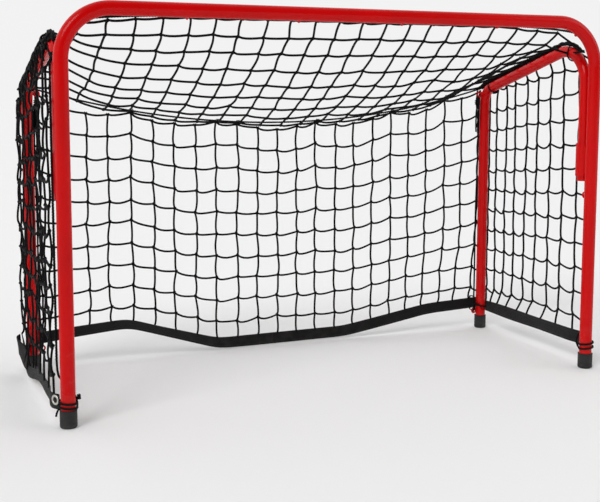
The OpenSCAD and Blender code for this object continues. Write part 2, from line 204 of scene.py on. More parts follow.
@dataclass(frozen=True)
class Layout:
    """Where the tubes stand, read from the frame, in millimetres.

    X is beside the goal line's middle, Y behind the goal line and Z above the floor.
    """

    goal_y: float
    post_x: float
    post_r: float
    bar_z: float
    side_r: float
    hinge_y: float
    leg_y: float
    corner_r: float = 75.0
    front_bend_r: float = 60.0
    rail_slope: float = 15.2
    eye_reach: float = 6.05
    eye_turn: float = 25.0
    eye_gap: float = 180.0
    bar_eye_count: int = 4
    corner_eye_turn: float = 50.0

    @classmethod
    def read(cls) -> "Layout":
        """Measures the front frame and a side frame.

        Returns:
            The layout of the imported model.
        """
        low, high = (Vector(c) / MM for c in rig.box("front_frame"))
        side_low, side_high = (Vector(c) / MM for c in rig.box("right_side_frame"))
        post_r = (high.y - low.y) / 2
        side_r = (side_high.x - side_low.x) / 2
        goal_y = (low.y + high.y) / 2
        return cls(
            goal_y=goal_y,
            post_x=high.x - post_r,
            post_r=post_r,
            bar_z=high.z - post_r,
            side_r=side_r,
            hinge_y=side_low.y + side_r - goal_y,
            leg_y=side_high.y - side_r - goal_y,
        )

    def at(self, x: float, y: float, z: float) -> Vector:
        """Point of the frame, in metres, from millimetres beside, behind and above the goal line's middle."""
        return Vector((x, y + self.goal_y, z)) * MM

    @property
    def bend_top(self) -> float:
        """Height of the top of the bend over a hinge."""
        return Vector(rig.box("right_side_frame")[1]).z / MM - self.side_r

    @property
    def rail_start(self) -> tuple[float, float]:
        """Y and Z where a sloping rail leaves the bend over the hinge."""
        turn = math.radians(90 - self.rail_slope)
        r = self.front_bend_r
        return self.hinge_y + r + r * math.cos(turn), self.bend_top - r + r * math.sin(turn)

    def rail_z(self, y: float) -> float:
        """Height of a rail's middle line at a depth, over its bend and along its slope."""
        start_y, start_z = self.rail_start
        if y >= start_y:
            return start_z - (y - start_y) * math.tan(math.radians(self.rail_slope))
        dy = min(self.hinge_y + self.front_bend_r - y, self.front_bend_r)
        return self.bend_top - self.front_bend_r + math.sqrt(max(self.front_bend_r**2 - dy**2, 0.0))

    @property
    def bar_eye_xs(self) -> list[float]:
        """Places of the crossbar's eyes along X."""
        count = self.bar_eye_count
        return [(k - (count - 1) / 2) * self.eye_gap for k in range(count)]

    @property
    def bar_eye(self) -> tuple[float, float]:
        """Y and Z of the middle of the crossbar's eyes, behind the bar and a little below it."""
        off, turn = self.post_r + self.eye_reach, math.radians(self.eye_turn)
        return off * math.cos(turn), self.bar_z - off * math.sin(turn)

    def corner(self, turn: float, off: float) -> tuple[float, float, float]:
        """X, Y and Z on the bend from post to crossbar, at an angle up from level and so far behind it."""
        a = math.radians(turn)
        x = self.post_x - self.corner_r * (1 - math.cos(a))
        return x, off, self.bar_z - self.corner_r * (1 - math.sin(a))

    def round_post(self, side: Side, turn: float, off: float, z: float) -> Vector:
        """Point beside a post, at an angle from straight outwards towards the back."""
        a = math.radians(turn)
        return self.at(side.value * (self.post_x + off * math.cos(a)), off * math.sin(a), z)


L = Layout.read()


def lookup(x: float, table: Iterable[tuple[float, float]]) -> float:
    """Straight-line value of a table at x, held at its ends."""
    rows = list(table)
    if x <= rows[0][0]:
        return rows[0][1]
    for (x0, v0), (x1, v1) in zip(rows, rows[1:]):
        if x <= x1:
            return v0 + (v1 - v0) * (x - x0) / (x1 - x0)
    return rows[-1][1]


def eased(x: float, table: Iterable[tuple[float, float]]) -> float:
    """Mean of a table's values at x and to both sides of it, so that its corners are rounded."""
    return (lookup(x - EASE, table) + 2 * lookup(x, table) + lookup(x + EASE, table)) / 4


def smooth_path(points: list[Vector], step: float) -> list[Vector]:
    """Catmull-Rom curve through points, sampled about every step metres.

    Args:
        points: The points that the curve goes through.
        step: Wanted distance between samples.

    Returns:
        The sampled points, first and last included.
    """
    ends = [2 * points[0] - points[1], *points, 2 * points[-1] - points[-2]]
    out = [points[0].copy()]
    for a, b, c, d in zip(ends, ends[1:], ends[2:], ends[3:]):
        n = max(1, round((c - b).length / step))
        for k in range(1, n + 1):
            t = k / n
            square, cube = 2 * a - 5 * b + 4 * c - d, 3 * b - a - 3 * c + d
            out.append(0.5 * (2 * b + (c - a) * t + square * t**2 + cube * t**3))
    return out


def circle(steps: int) -> list[tuple[int, float]]:
    """Steps once round a circle with both ends: the number and the angle of each."""
    return [(m, 2 * math.pi * m / steps) for m in range(steps + 1)]


def travelled(path: list[Vector]) -> Iterator[tuple[Vector, Vector, float]]:
    """Each point of a path, its direction there and its distance along the path."""
    last, along = len(path) - 1, 0.0
    for i, p in enumerate(path):
        if i:
            along += (p - path[i - 1]).length
        yield p, (path[min(i + 1, last)] - path[max(i - 1, 0)]).normalized(), along


def carried(path: list[Vector]) -> Iterator[tuple[Vector, float, Vector, Vector]]:
    """Each point of a path, its distance along it and two directions across it, which don't twist."""
    normal = None
    for p, tangent, along in travelled(path):
        if normal is None:
            seed = UP if abs(tangent.z) < STEEP else Vector((0, 1, 0))
            normal = (seed - tangent * seed.dot(tangent)).normalized()
        normal = (normal - tangent * normal.dot(tangent)).normalized()
        yield p, along, normal, tangent.cross(normal)


# ---------------------------------------------------------------- finishes


def noise_node(tree: bpy.types.NodeTree, scale: float, detail: float = 3.0) -> bpy.types.Node:
    """Noise on Object coordinates.

    Args:
        tree: Tree that receives the nodes.
        scale: Cells per metre.
        detail: Octaves.

    Returns:
        The noise node.
    """
    coords = tree.nodes.new("ShaderNodeTexCoord")
    noise = tree.nodes.new("ShaderNodeTexNoise")
    noise.inputs["Scale"].default_value = scale
    noise.inputs["Detail"].default_value = detail
    tree.links.new(coords.outputs["Object"], noise.inputs["Vector"])
    return noise


def math_node(tree: bpy.types.NodeTree, operation: str, *inputs: object) -> Socket:
    """Math node whose inputs are sockets or numbers; returns its output."""
    node = tree.nodes.new("ShaderNodeMath")
    node.operation = operation
    for socket, value in zip(node.inputs, inputs):
        if isinstance(value, Socket):
            tree.links.new(value, socket)
        else:
            socket.default_value = value
    return node.outputs[0]


def ramp_value(tree: bpy.types.NodeTree, value: Socket, low: float, high: float) -> Socket:
    """Clamped 0 to 1 ramp of a value between two limits."""
    node = tree.nodes.new("ShaderNodeMapRange")
    node.inputs["From Min"].default_value = low
    node.inputs["From Max"].default_value = high
    tree.links.new(value, node.inputs["Value"])
    return node.outputs["Result"]


def mixed(tree: bpy.types.NodeTree, mask: Socket, a: object, b: object) -> Socket:
    """Colour mix of two colours or sockets by a mask."""
    node = tree.nodes.new("ShaderNodeMix")
    node.data_type = "RGBA"
    tree.links.new(mask, node.inputs["Factor"])
    for socket, value in ((node.inputs[6], a), (node.inputs[7], b)):
        if isinstance(value, Socket):
            tree.links.new(value, socket)
        else:
            socket.default_value = (*value, 1.0)
    return node.outputs[2]


class Effect:
    """A shader node group with named inputs and outputs, built once and used by several finishes."""

    def __init__(self, name: str, inputs: dict[str, float], outputs: Iterable[str]) -> None:
        """Makes the group and its sockets.

        Args:
            name: Name of the group.
            inputs: Each input's name and usual value.
            outputs: Names of the values it puts out.
        """
        self.tree = bpy.data.node_groups.new(name, "ShaderNodeTree")
        for key, value in inputs.items():
            socket = self.tree.interface.new_socket(name=key, in_out="INPUT", socket_type="NodeSocketFloat")
            socket.default_value = value
        for key in outputs:
            self.tree.interface.new_socket(name=key, in_out="OUTPUT", socket_type="NodeSocketFloat")
        self.given = self.tree.nodes.new("NodeGroupInput")
        self.result = self.tree.nodes.new("NodeGroupOutput")

    def value(self, key: str) -> Socket:
        """One of the group's inputs."""
        return self.given.outputs[key]

    def put_out(self, key: str, socket: Socket) -> None:
        """Links a value to one of the group's outputs."""
        self.tree.links.new(socket, self.result.inputs[key])

    def placed(self, tree: bpy.types.NodeTree, **values: float) -> bpy.types.Node:
        """Places the group in a material with its own values.

        Args:
            tree: The material's tree.
            values: Values of the inputs.

        Returns:
            The group node.
        """
        node = tree.nodes.new("ShaderNodeGroup")
        node.node_tree = self.tree
        for key, value in values.items():
            node.inputs[key].default_value = value
        return node


def make_grain() -> Effect:
    """Fine surface grain: a height from two sizes of noise."""
    effect = Effect("fine_grain", {"Coarse": 300.0, "Fine": 1500.0}, ["Height", "Patches"])
    tree = effect.tree
    coarse, fine = noise_node(tree, 1.0), noise_node(tree, 1.0, 2.0)
    tree.links.new(effect.value("Coarse"), coarse.inputs["Scale"])
    tree.links.new(effect.value("Fine"), fine.inputs["Scale"])
    height = math_node(tree, "MULTIPLY_ADD", fine.outputs["Fac"], 0.35, coarse.outputs["Fac"])
    effect.put_out("Height", height)
    effect.put_out("Patches", coarse.outputs["Fac"])
    return effect


def make_dust() -> Effect:
    """Dust that lies thicker near the ground, broken up by noise."""
    effect = Effect("floor_dust", {"Reach": 0.12, "Amount": 0.5}, ["Mask"])
    tree = effect.tree
    coords = tree.nodes.new("ShaderNodeTexCoord")
    split = tree.nodes.new("ShaderNodeSeparateXYZ")
    tree.links.new(coords.outputs["Object"], split.inputs[0])
    height = math_node(tree, "DIVIDE", split.outputs["Z"], effect.value("Reach"))
    near = math_node(tree, "SUBTRACT", 1.0, height)
    near = math_node(tree, "MAXIMUM", near, 0.0)
    broken = ramp_value(tree, noise_node(tree, 55.0, 6.0).outputs["Fac"], 0.42, 0.68)
    mask = math_node(tree, "MULTIPLY", near, broken)
    effect.put_out("Mask", math_node(tree, "MULTIPLY", mask, effect.value("Amount")))
    return effect


def make_lay() -> Effect:
    """Diagonal strands of a laid cord: the piece's UV runs in metres along it and once round it."""
    effect = Effect("cord_lay", {"Strands": 3.0, "Pitch": 0.007}, ["Height", "Fibre"])
    tree = effect.tree
    uv = tree.nodes.new("ShaderNodeUVMap")
    split = tree.nodes.new("ShaderNodeSeparateXYZ")
    tree.links.new(uv.outputs["UV"], split.inputs[0])
    along = math_node(tree, "DIVIDE", split.outputs["X"], effect.value("Pitch"))
    turned = math_node(tree, "MULTIPLY_ADD", split.outputs["Y"], effect.value("Strands"), along)
    wave = math_node(tree, "SINE", math_node(tree, "MULTIPLY", turned, 2 * math.pi))
    groove = math_node(tree, "POWER", math_node(tree, "MULTIPLY_ADD", wave, 0.5, 0.5), 0.6)
    effect.put_out("Height", groove)
    fibre = tree.nodes.new("ShaderNodeTexNoise")
    fibre.inputs["Scale"].default_value = 1.0
    stretch = tree.nodes.new("ShaderNodeCombineXYZ")
    tree.links.new(math_node(tree, "MULTIPLY", along, 1.4), stretch.inputs[0])
    tree.links.new(math_node(tree, "MULTIPLY", turned, 9.0), stretch.inputs[1])
    tree.links.new(stretch.outputs[0], fibre.inputs["Vector"])
    effect.put_out("Fibre", fibre.outputs["Fac"])
    return effect


def make_weave() -> Effect:
    """Webbing on the piece's UV: ribs across it, a twill over them and a stitched line near each edge."""
    effect = Effect("webbing_weave", {"Rib": 0.0016, "Yarn": 0.0011, "Width": 0.02}, ["Height", "Stitch"])
    tree = effect.tree
    uv = tree.nodes.new("ShaderNodeUVMap")
    split = tree.nodes.new("ShaderNodeSeparateXYZ")
    tree.links.new(uv.outputs["UV"], split.inputs[0])
    along = math_node(tree, "DIVIDE", split.outputs["X"], effect.value("Rib"))
    across = math_node(tree, "DIVIDE", split.outputs["Y"], effect.value("Yarn"))
    rib = math_node(tree, "SINE", math_node(tree, "MULTIPLY", along, 2 * math.pi))
    slant = math_node(tree, "ADD", along, across)
    twill = math_node(tree, "SINE", math_node(tree, "MULTIPLY", slant, math.pi))
    cloth = math_node(tree, "MULTIPLY_ADD", rib, twill, 1.0)
    edge = math_node(tree, "ABSOLUTE", split.outputs["Y"])
    from_edge = math_node(tree, "SUBTRACT", math_node(tree, "MULTIPLY", effect.value("Width"), 0.38), edge)
    off_line = ramp_value(tree, math_node(tree, "ABSOLUTE", from_edge), 0.0, 0.0007)
    line = math_node(tree, "SUBTRACT", 1.0, off_line)
    dash = math_node(tree, "FRACT", math_node(tree, "MULTIPLY", split.outputs["X"], 260.0))
    stitch = math_node(tree, "MULTIPLY", line, math_node(tree, "LESS_THAN", dash, 0.72))
    effect.put_out("Height", math_node(tree, "MULTIPLY_ADD", stitch, 1.2, cloth))
    effect.put_out("Stitch", stitch)
    return effect


@dataclass(frozen=True)
class Finish:
    """What every finish has: a name and the numbers of its shader."""

    name: str
    colour: tuple[float, float, float]
    roughness: float

    def start(self, **inputs: float) -> tuple[bpy.types.Material, bpy.types.NodeTree, bpy.types.Node]:
        """New material with its shader's plain sockets set.

        Args:
            inputs: Values of more sockets, by their names with underscores for spaces.

        Returns:
            The material, its tree and its Principled BSDF.
        """
        material = bpy.data.materials.new(self.name)
        material.use_nodes = True
        shader = material.node_tree.nodes["Principled BSDF"]
        shader.inputs["Base Color"].default_value = (*self.colour, 1.0)
        shader.inputs["Roughness"].default_value = self.roughness
        for key, value in inputs.items():
            shader.inputs[key.replace("_", " ")].default_value = value
        material.diffuse_color = (*self.colour, 1.0)
        return material, material.node_tree, shader

    @staticmethod
    def bump(
        tree: bpy.types.NodeTree, shader: bpy.types.Node, height: Socket, depth: float, strength: float
    ) -> None:
        """Bumps the shader's normal.

        Args:
            tree: The material's tree.
            shader: The Principled BSDF.
            height: Height socket.
            depth: Distance in metres that a height of 1 stands for.
            strength: Strength of the bump.
        """
        node = tree.nodes.new("ShaderNodeBump")
        node.inputs["Distance"].default_value = depth
        node.inputs["Strength"].default_value = strength
        tree.links.new(height, node.inputs["Height"])
        tree.links.new(node.outputs["Normal"], shader.inputs["Normal"])


@dataclass(frozen=True)
class GlossCoat(Finish):
    """Baked gloss paint on steel tube, with a faint orange peel, handling marks and dust near the floor."""

    deep: tuple[float, float, float] = (0.50, 0.0005, 0.001)
    dust: tuple[float, float, float] = (0.42, 0.12, 0.10)

    def build(self, grain: Effect, dust: Effect) -> bpy.types.Material:
        """Builds the paint from the shared grain and dust."""
        material, tree, shader = self.start(Coat_Weight=0.14, Coat_Roughness=0.10, Specular_IOR_Level=0.09)
        peel = grain.placed(tree, Coarse=240.0, Fine=900.0)
        clouds = noise_node(tree, 9.0, 4.0)
        tone = mixed(tree, ramp_value(tree, clouds.outputs["Fac"], 0.25, 0.8), self.colour, self.deep)
        low = dust.placed(tree, Reach=0.14, Amount=0.16)
        colour = mixed(tree, low.outputs["Mask"], tone, self.dust)
        tree.links.new(colour, shader.inputs["Base Color"])
        scuffs = noise_node(tree, 130.0, 7.0)
        scuffed = ramp_value(tree, scuffs.outputs["Fac"], 0.5, 1.0)
        rough = math_node(tree, "MULTIPLY_ADD", scuffed, 0.08, self.roughness)
        rough = math_node(tree, "MULTIPLY_ADD", low.outputs["Mask"], 0.5, rough)
        tree.links.new(rough, shader.inputs["Roughness"])
        self.bump(tree, shader, peel.outputs["Height"], 0.0002, 0.06)
        return material


@dataclass(frozen=True)
class MattRubber(Finish):
    """Moulded black rubber with a fine grain and grey dust at the bottom."""

    dust: tuple[float, float, float] = (0.07, 0.065, 0.06)

    def build(self, grain: Effect, dust: Effect) -> bpy.types.Material:
        """Builds the rubber from the shared grain and dust."""
        material, tree, shader = self.start(Specular_IOR_Level=0.35)
        skin = grain.placed(tree, Coarse=420.0, Fine=2200.0)
        low = dust.placed(tree, Reach=0.028, Amount=0.75)
        patches = ramp_value(tree, skin.outputs["Patches"], 0.3, 0.75)
        worn = mixed(tree, patches, self.colour, tuple(2.1 * c for c in self.colour))
        tree.links.new(mixed(tree, low.outputs["Mask"], worn, self.dust), shader.inputs["Base Color"])
        rough = math_node(tree, "MULTIPLY_ADD", patches, 0.12, self.roughness)
        tree.links.new(rough, shader.inputs["Roughness"])
        self.bump(tree, shader, skin.outputs["Height"], 0.0004, 0.35)
        return material


@dataclass(frozen=True)
class LaidCord(Finish):
    """Black polyester cord: strands laid together, a soft sheen, and a little grey painted on the strands' crowns as
    painted highlight and rubbed wear, so the grooves stay darker as painted shade.
    """

    strands: float = 3.0
    pitch: float = 0.007
    # lighter grey of the strands' crowns: painted highlight, partly rubbed wear
    rubbed: tuple[float, float, float] = (0.013, 0.012, 0.012)
    dust: tuple[float, float, float] = (0.06, 0.055, 0.05)

    def build(self, lay: Effect, dust: Effect) -> bpy.types.Material:
        """Builds the cord from the shared lay and dust."""
        material, tree, shader = self.start(Sheen_Weight=0.03, Sheen_Roughness=0.45, Specular_IOR_Level=0.1)
        group = lay.placed(tree, Strands=self.strands, Pitch=self.pitch)
        # painted highlight and shade: the strands' crowns turn lighter grey and the grooves between them stay dark,
        # broken up by noise; partly rubbed wear too
        lit = math_node(tree, "MULTIPLY", group.outputs["Height"], group.outputs["Fibre"])
        fade = noise_node(tree, 14.0, 3.0)
        mask = math_node(tree, "MULTIPLY", lit, ramp_value(tree, fade.outputs["Fac"], 0.2, 0.8))
        low = dust.placed(tree, Reach=0.05, Amount=0.15)
        colour = mixed(tree, mask, self.colour, self.rubbed)
        tree.links.new(mixed(tree, low.outputs["Mask"], colour, self.dust), shader.inputs["Base Color"])
        rough = math_node(tree, "MULTIPLY_ADD", group.outputs["Fibre"], 0.2, self.roughness)
        tree.links.new(rough, shader.inputs["Roughness"])
        height = math_node(tree, "MULTIPLY_ADD", group.outputs["Fibre"], 0.25, group.outputs["Height"])
        self.bump(tree, shader, height, 0.0006, 0.8)
        return material


@dataclass(frozen=True)
class Webbing(Finish):
    """Woven black tape with stitched edges, dusty where it lies low."""

    thread: tuple[float, float, float] = (0.022, 0.021, 0.020)
    dust: tuple[float, float, float] = (0.07, 0.065, 0.06)

    def build(self, weave: Effect, dust: Effect) -> bpy.types.Material:
        """Builds the tape from the shared weave and dust."""
        material, tree, shader = self.start(Sheen_Weight=0.06, Sheen_Roughness=0.5, Specular_IOR_Level=0.2)
        cloth = weave.placed(tree)
        fade = noise_node(tree, 26.0, 4.0)
        faded = ramp_value(tree, fade.outputs["Fac"], 0.35, 0.8)
        worn = mixed(tree, faded, self.colour, tuple(2 * c for c in self.colour))
        sewn = mixed(tree, cloth.outputs["Stitch"], worn, self.thread)
        low = dust.placed(tree, Reach=0.05, Amount=0.22)
        tree.links.new(mixed(tree, low.outputs["Mask"], sewn, self.dust), shader.inputs["Base Color"])
        rough = math_node(tree, "MULTIPLY_ADD", fade.outputs["Fac"], 0.15, self.roughness)
        tree.links.new(rough, shader.inputs["Roughness"])
        self.bump(tree, shader, cloth.outputs["Height"], 0.0005, 0.6)
        return material


@dataclass(frozen=True)
class Nickel(Finish):
    """Bright nickel plate with fine scratches."""

    def build(self, grain: Effect) -> bpy.types.Material:
        """Builds the plate from the shared grain."""
        material, tree, shader = self.start(Metallic=1.0)
        marks = grain.placed(tree, Coarse=900.0, Fine=4000.0)
        rough = math_node(tree, "MULTIPLY_ADD", marks.outputs["Patches"], 0.25, self.roughness)
        tree.links.new(rough, shader.inputs["Roughness"])
        tint = mixed(tree, marks.outputs["Patches"], self.colour, tuple(0.7 * c for c in self.colour))
        tree.links.new(tint, shader.inputs["Base Color"])
        self.bump(tree, shader, marks.outputs["Height"], 0.0002, 0.15)
        return material


class Finishes:
    """All the goal's materials, built once."""

    def __init__(self) -> None:
        """Builds the shared effects and the materials."""
        grain, dust, lay, weave = make_grain(), make_dust(), make_lay(), make_weave()
        self.red = GlossCoat("red_gloss_coat", (0.64, 0.0005, 0.001), 0.24).build(grain, dust)
        self.rubber = MattRubber("black_rubber_feet", (0.010, 0.010, 0.010), 0.6).build(grain, dust)
        self.cord = LaidCord("black_net_cord", (0.003, 0.003, 0.0033), 0.7).build(lay, dust)
        yarn = LaidCord("black_rope_yarn", (0.0035, 0.0035, 0.004), 0.7, strands=2.0, pitch=0.004)
        self.rope = yarn.build(lay, dust)
        self.webbing = Webbing("black_webbing", (0.004, 0.0037, 0.0037), 0.75).build(weave, dust)
        self.nickel = Nickel("eyelet_nickel", (0.66, 0.64, 0.60), 0.22).build(grain)


# ---------------------------------------------------------------- mesh helpers


class SweptMesh:
    """Points, faces and UVs that gather into one mesh."""

    def __init__(self) -> None:
        """Starts empty."""
        self.points: list[Vector] = []
        self.faces: list[tuple[int, ...]] = []
        self.uvs: list[tuple[float, float]] = []

    def build(self, name: str, material: bpy.types.Material, slot: str) -> bpy.types.Object:
        """Makes the object.

        Args:
            name: Name of the piece.
            material: Its material.
            slot: The record's material slot.

        Returns:
            The new piece, at the origin.
        """
        mesh = bpy.data.meshes.new(name)
        mesh.from_pydata([tuple(p) for p in self.points], [], self.faces)
        layer = mesh.uv_layers.new(name="UVMap")
        layer.data.foreach_set("uv", [c for uv in self.uvs for c in uv])
        mesh.shade_smooth()
        mesh.materials.append(material)
        piece = bpy.data.objects.new(name, mesh)
        bpy.context.scene.collection.objects.link(piece)
        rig.slot(piece, slot)
        return piece


class CordMesh(SweptMesh):
    """Round cords swept along paths and gathered in one mesh, with UVs in metres along and turns round."""

    def __init__(self, sides: int = 7) -> None:
        """Starts an empty mesh of cords with that many sides."""
        super().__init__()
        self.sides = sides

    def sweep(self, path: list[Vector], radius: float | Callable[[float], float]) -> None:
        """Adds a cord along a path.

        Args:
            path: Points of its middle line.
            radius: Its radius, or a function of the share of its length.
        """
        n, last, base, lengths = self.sides, len(path) - 1, len(self.points), []
        for i, (p, along, normal, side) in enumerate(carried(path)):
            r = radius(i / last) if callable(radius) else radius
            lengths.append(along)
            self.points += [p + r * (math.cos(a) * normal + math.sin(a) * side) for _, a in circle(n)[:-1]]
        for i in range(last):
            for k in range(n):
                m = (k + 1) % n
                a = base + i * n
                self.faces.append((a + k, a + m, a + n + m, a + n + k))
                u0, u1, v0, v1 = lengths[i], lengths[i + 1], k / n, (k + 1) / n
                self.uvs += [(u0, v0), (u0, v1), (u1, v1), (u1, v0)]
        for start, order, u in ((base, -1, 0.0), (base + last * n, 1, along)):
            self.faces.append(tuple([start + k for k in range(n)][::order]))
            self.uvs += [(u, k / n) for k in range(n)]

    def twist(
        self, path: list[Vector], radius: float, strands: int, pitch: float, loose: float = 0.0
    ) -> None:
        """Adds a laid rope: strands that wind round one middle line.

        Args:
            path: Points of the middle line, no more than about an eighth of the pitch apart.
            radius: Radius of the whole rope.
            strands: Number of strands, two or more.
            pitch: Length of one turn.
            loose: Share by which the strands stand off, for a slack bundle.
        """
        strand_r = radius / (1 + 1 / math.sin(math.pi / strands))
        off = (radius - strand_r) * (1 + loose)
        for s in range(strands):
            line = []
            for p, along, normal, side in carried(path):
                a = 2 * math.pi * (along / pitch + s / strands)
                line.append(p + off * (math.cos(a) * normal + math.sin(a) * side))
            self.sweep(line, strand_r * CLOSE_FIT)

    def knot(self, at: Vector, u: Vector, v: Vector, size: float) -> None:
        """Adds a mesh knot: one bight over the crossing and another under it, on the other diagonal.

        Args:
            at: Where the cords cross.
            u: Way of one cord.
            v: Way of the other.
            size: Radius of the cord.
        """
        out = u.cross(v).normalized()
        for way, lift in ((u + v, out), (u - v, -out)):
            way = way.normalized()
            arc = [(-1.35, 0.0), (-0.9, 0.75), (0.0, 1.05), (0.9, 0.75), (1.35, 0.0)]
            self.sweep([at + size * (a * way + b * lift) for a, b in arc], size * 0.66)


class Ribbon(SweptMesh):
    """Flat webbing swept along a path, with rounded edges and UVs in metres along and across."""

    def __init__(self, width: float, thickness: float) -> None:
        """Starts an empty ribbon.

        Args:
            width: Width of the webbing.
            thickness: Its thickness.
        """
        super().__init__()
        self.width, self.thickness = width, thickness

    def section(self) -> list[tuple[float, float]]:
        """Outline of the webbing: across and through, in order round it."""
        w, t = self.width / 2, self.thickness / 2
        across = [-1.0, -0.92, -0.7, -0.35, 0.0, 0.35, 0.7, 0.92, 1.0]
        front = [(w * a, t * (0.45 if abs(a) == 1 else 1.0)) for a in across]
        return front + [(a, -b) for a, b in reversed(front)]

    def sweep(self, path: list[Vector], across: list[Vector]) -> None:
        """Adds a strip along a path.

        Args:
            path: Points of its middle.
            across: The direction across the strip at each point.
        """
        outline = self.section()
        n, base, last, lengths = len(outline), len(self.points), len(path) - 1, []
        for (p, tangent, along), way in zip(travelled(path), across):
            wide = (way - tangent * way.dot(tangent)).normalized()
            through = tangent.cross(wide)
            lengths.append(along)
            self.points += [p + a * wide + b * through for a, b in outline]
        for i in range(last):
            for k in range(n):
                m = (k + 1) % n
                a = base + i * n
                self.faces.append((a + k, a + n + k, a + n + m, a + m))
                u0, u1, v0, v1 = lengths[i], lengths[i + 1], outline[k][0], outline[m][0]
                self.uvs += [(u0, v0), (u1, v0), (u1, v1), (u0, v1)]
        for start, order, u in ((base, 1, 0.0), (base + last * n, -1, along)):
            self.faces.append(tuple([start + k for k in range(n)][::order]))
            self.uvs += [(u, outline[k][0]) for k in range(n)][::order]


def new_primitive() -> bpy.types.Object:
    """The object that an operator has just added."""
    return bpy.context.view_layer.objects.active


def deselect() -> None:
    """Leaves edit mode and deselects every object."""
    if bpy.context.object and bpy.context.object.mode != "OBJECT":
        bpy.ops.object.mode_set(mode="OBJECT")
    bpy.ops.object.select_all(action="DESELECT")


def settle(
    piece: bpy.types.Object, name: str, material: bpy.types.Material, slot: str, angle: float = 35.0
) -> None:
    """Puts a modelled piece's place into its mesh, smooths it and dresses it.

    Args:
        piece: The piece, which is the active object.
        name: Its name.
        material: Its material.
        slot: The record's material slot.
        angle: Edges sharper than this, in degrees, stay sharp.
    """
    piece.name = piece.data.name = name
    for modifier in list(piece.modifiers):
        bpy.ops.object.modifier_apply(modifier=modifier.name)
    bpy.ops.object.transform_apply(location=True, rotation=True, scale=True)
    bpy.ops.object.shade_smooth_by_angle(angle=math.radians(angle))
    piece.data.materials.clear()
    piece.data.materials.append(material)
    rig.slot(piece, slot)
    deselect()


def turned_solid(profile: list[tuple[float, float]], centre: Vector, sides: int = 64) -> bpy.types.Object:
    """Turned solid, made by pulling a disc up ring by ring.

    Args:
        profile: Radius and height of each ring, in metres, from the bottom face to the last ring.
        centre: Middle of the bottom.
        sides: Number of sides.

    Returns:
        The active object, in object mode.
    """
    deselect()
    radius, height = profile[0]
    bpy.ops.mesh.primitive_circle_add(
        vertices=sides, radius=radius, fill_type="NGON", location=centre + UP * height
    )
    bpy.ops.object.mode_set(mode="EDIT")
    for (r0, z0), (r1, z1) in zip(profile, profile[1:]):
        bpy.ops.mesh.extrude_region_move(TRANSFORM_OT_translate={"value": (0, 0, z1 - z0)})
        bpy.ops.transform.resize(value=(r1 / r0, r1 / r0, 1), center_override=centre + UP * z1)
    bpy.ops.mesh.select_all(action="SELECT")
    bpy.ops.mesh.normals_make_consistent(inside=False)
    bpy.ops.object.mode_set(mode="OBJECT")
    return new_primitive()


# ---------------------------------------------------------------- hard parts


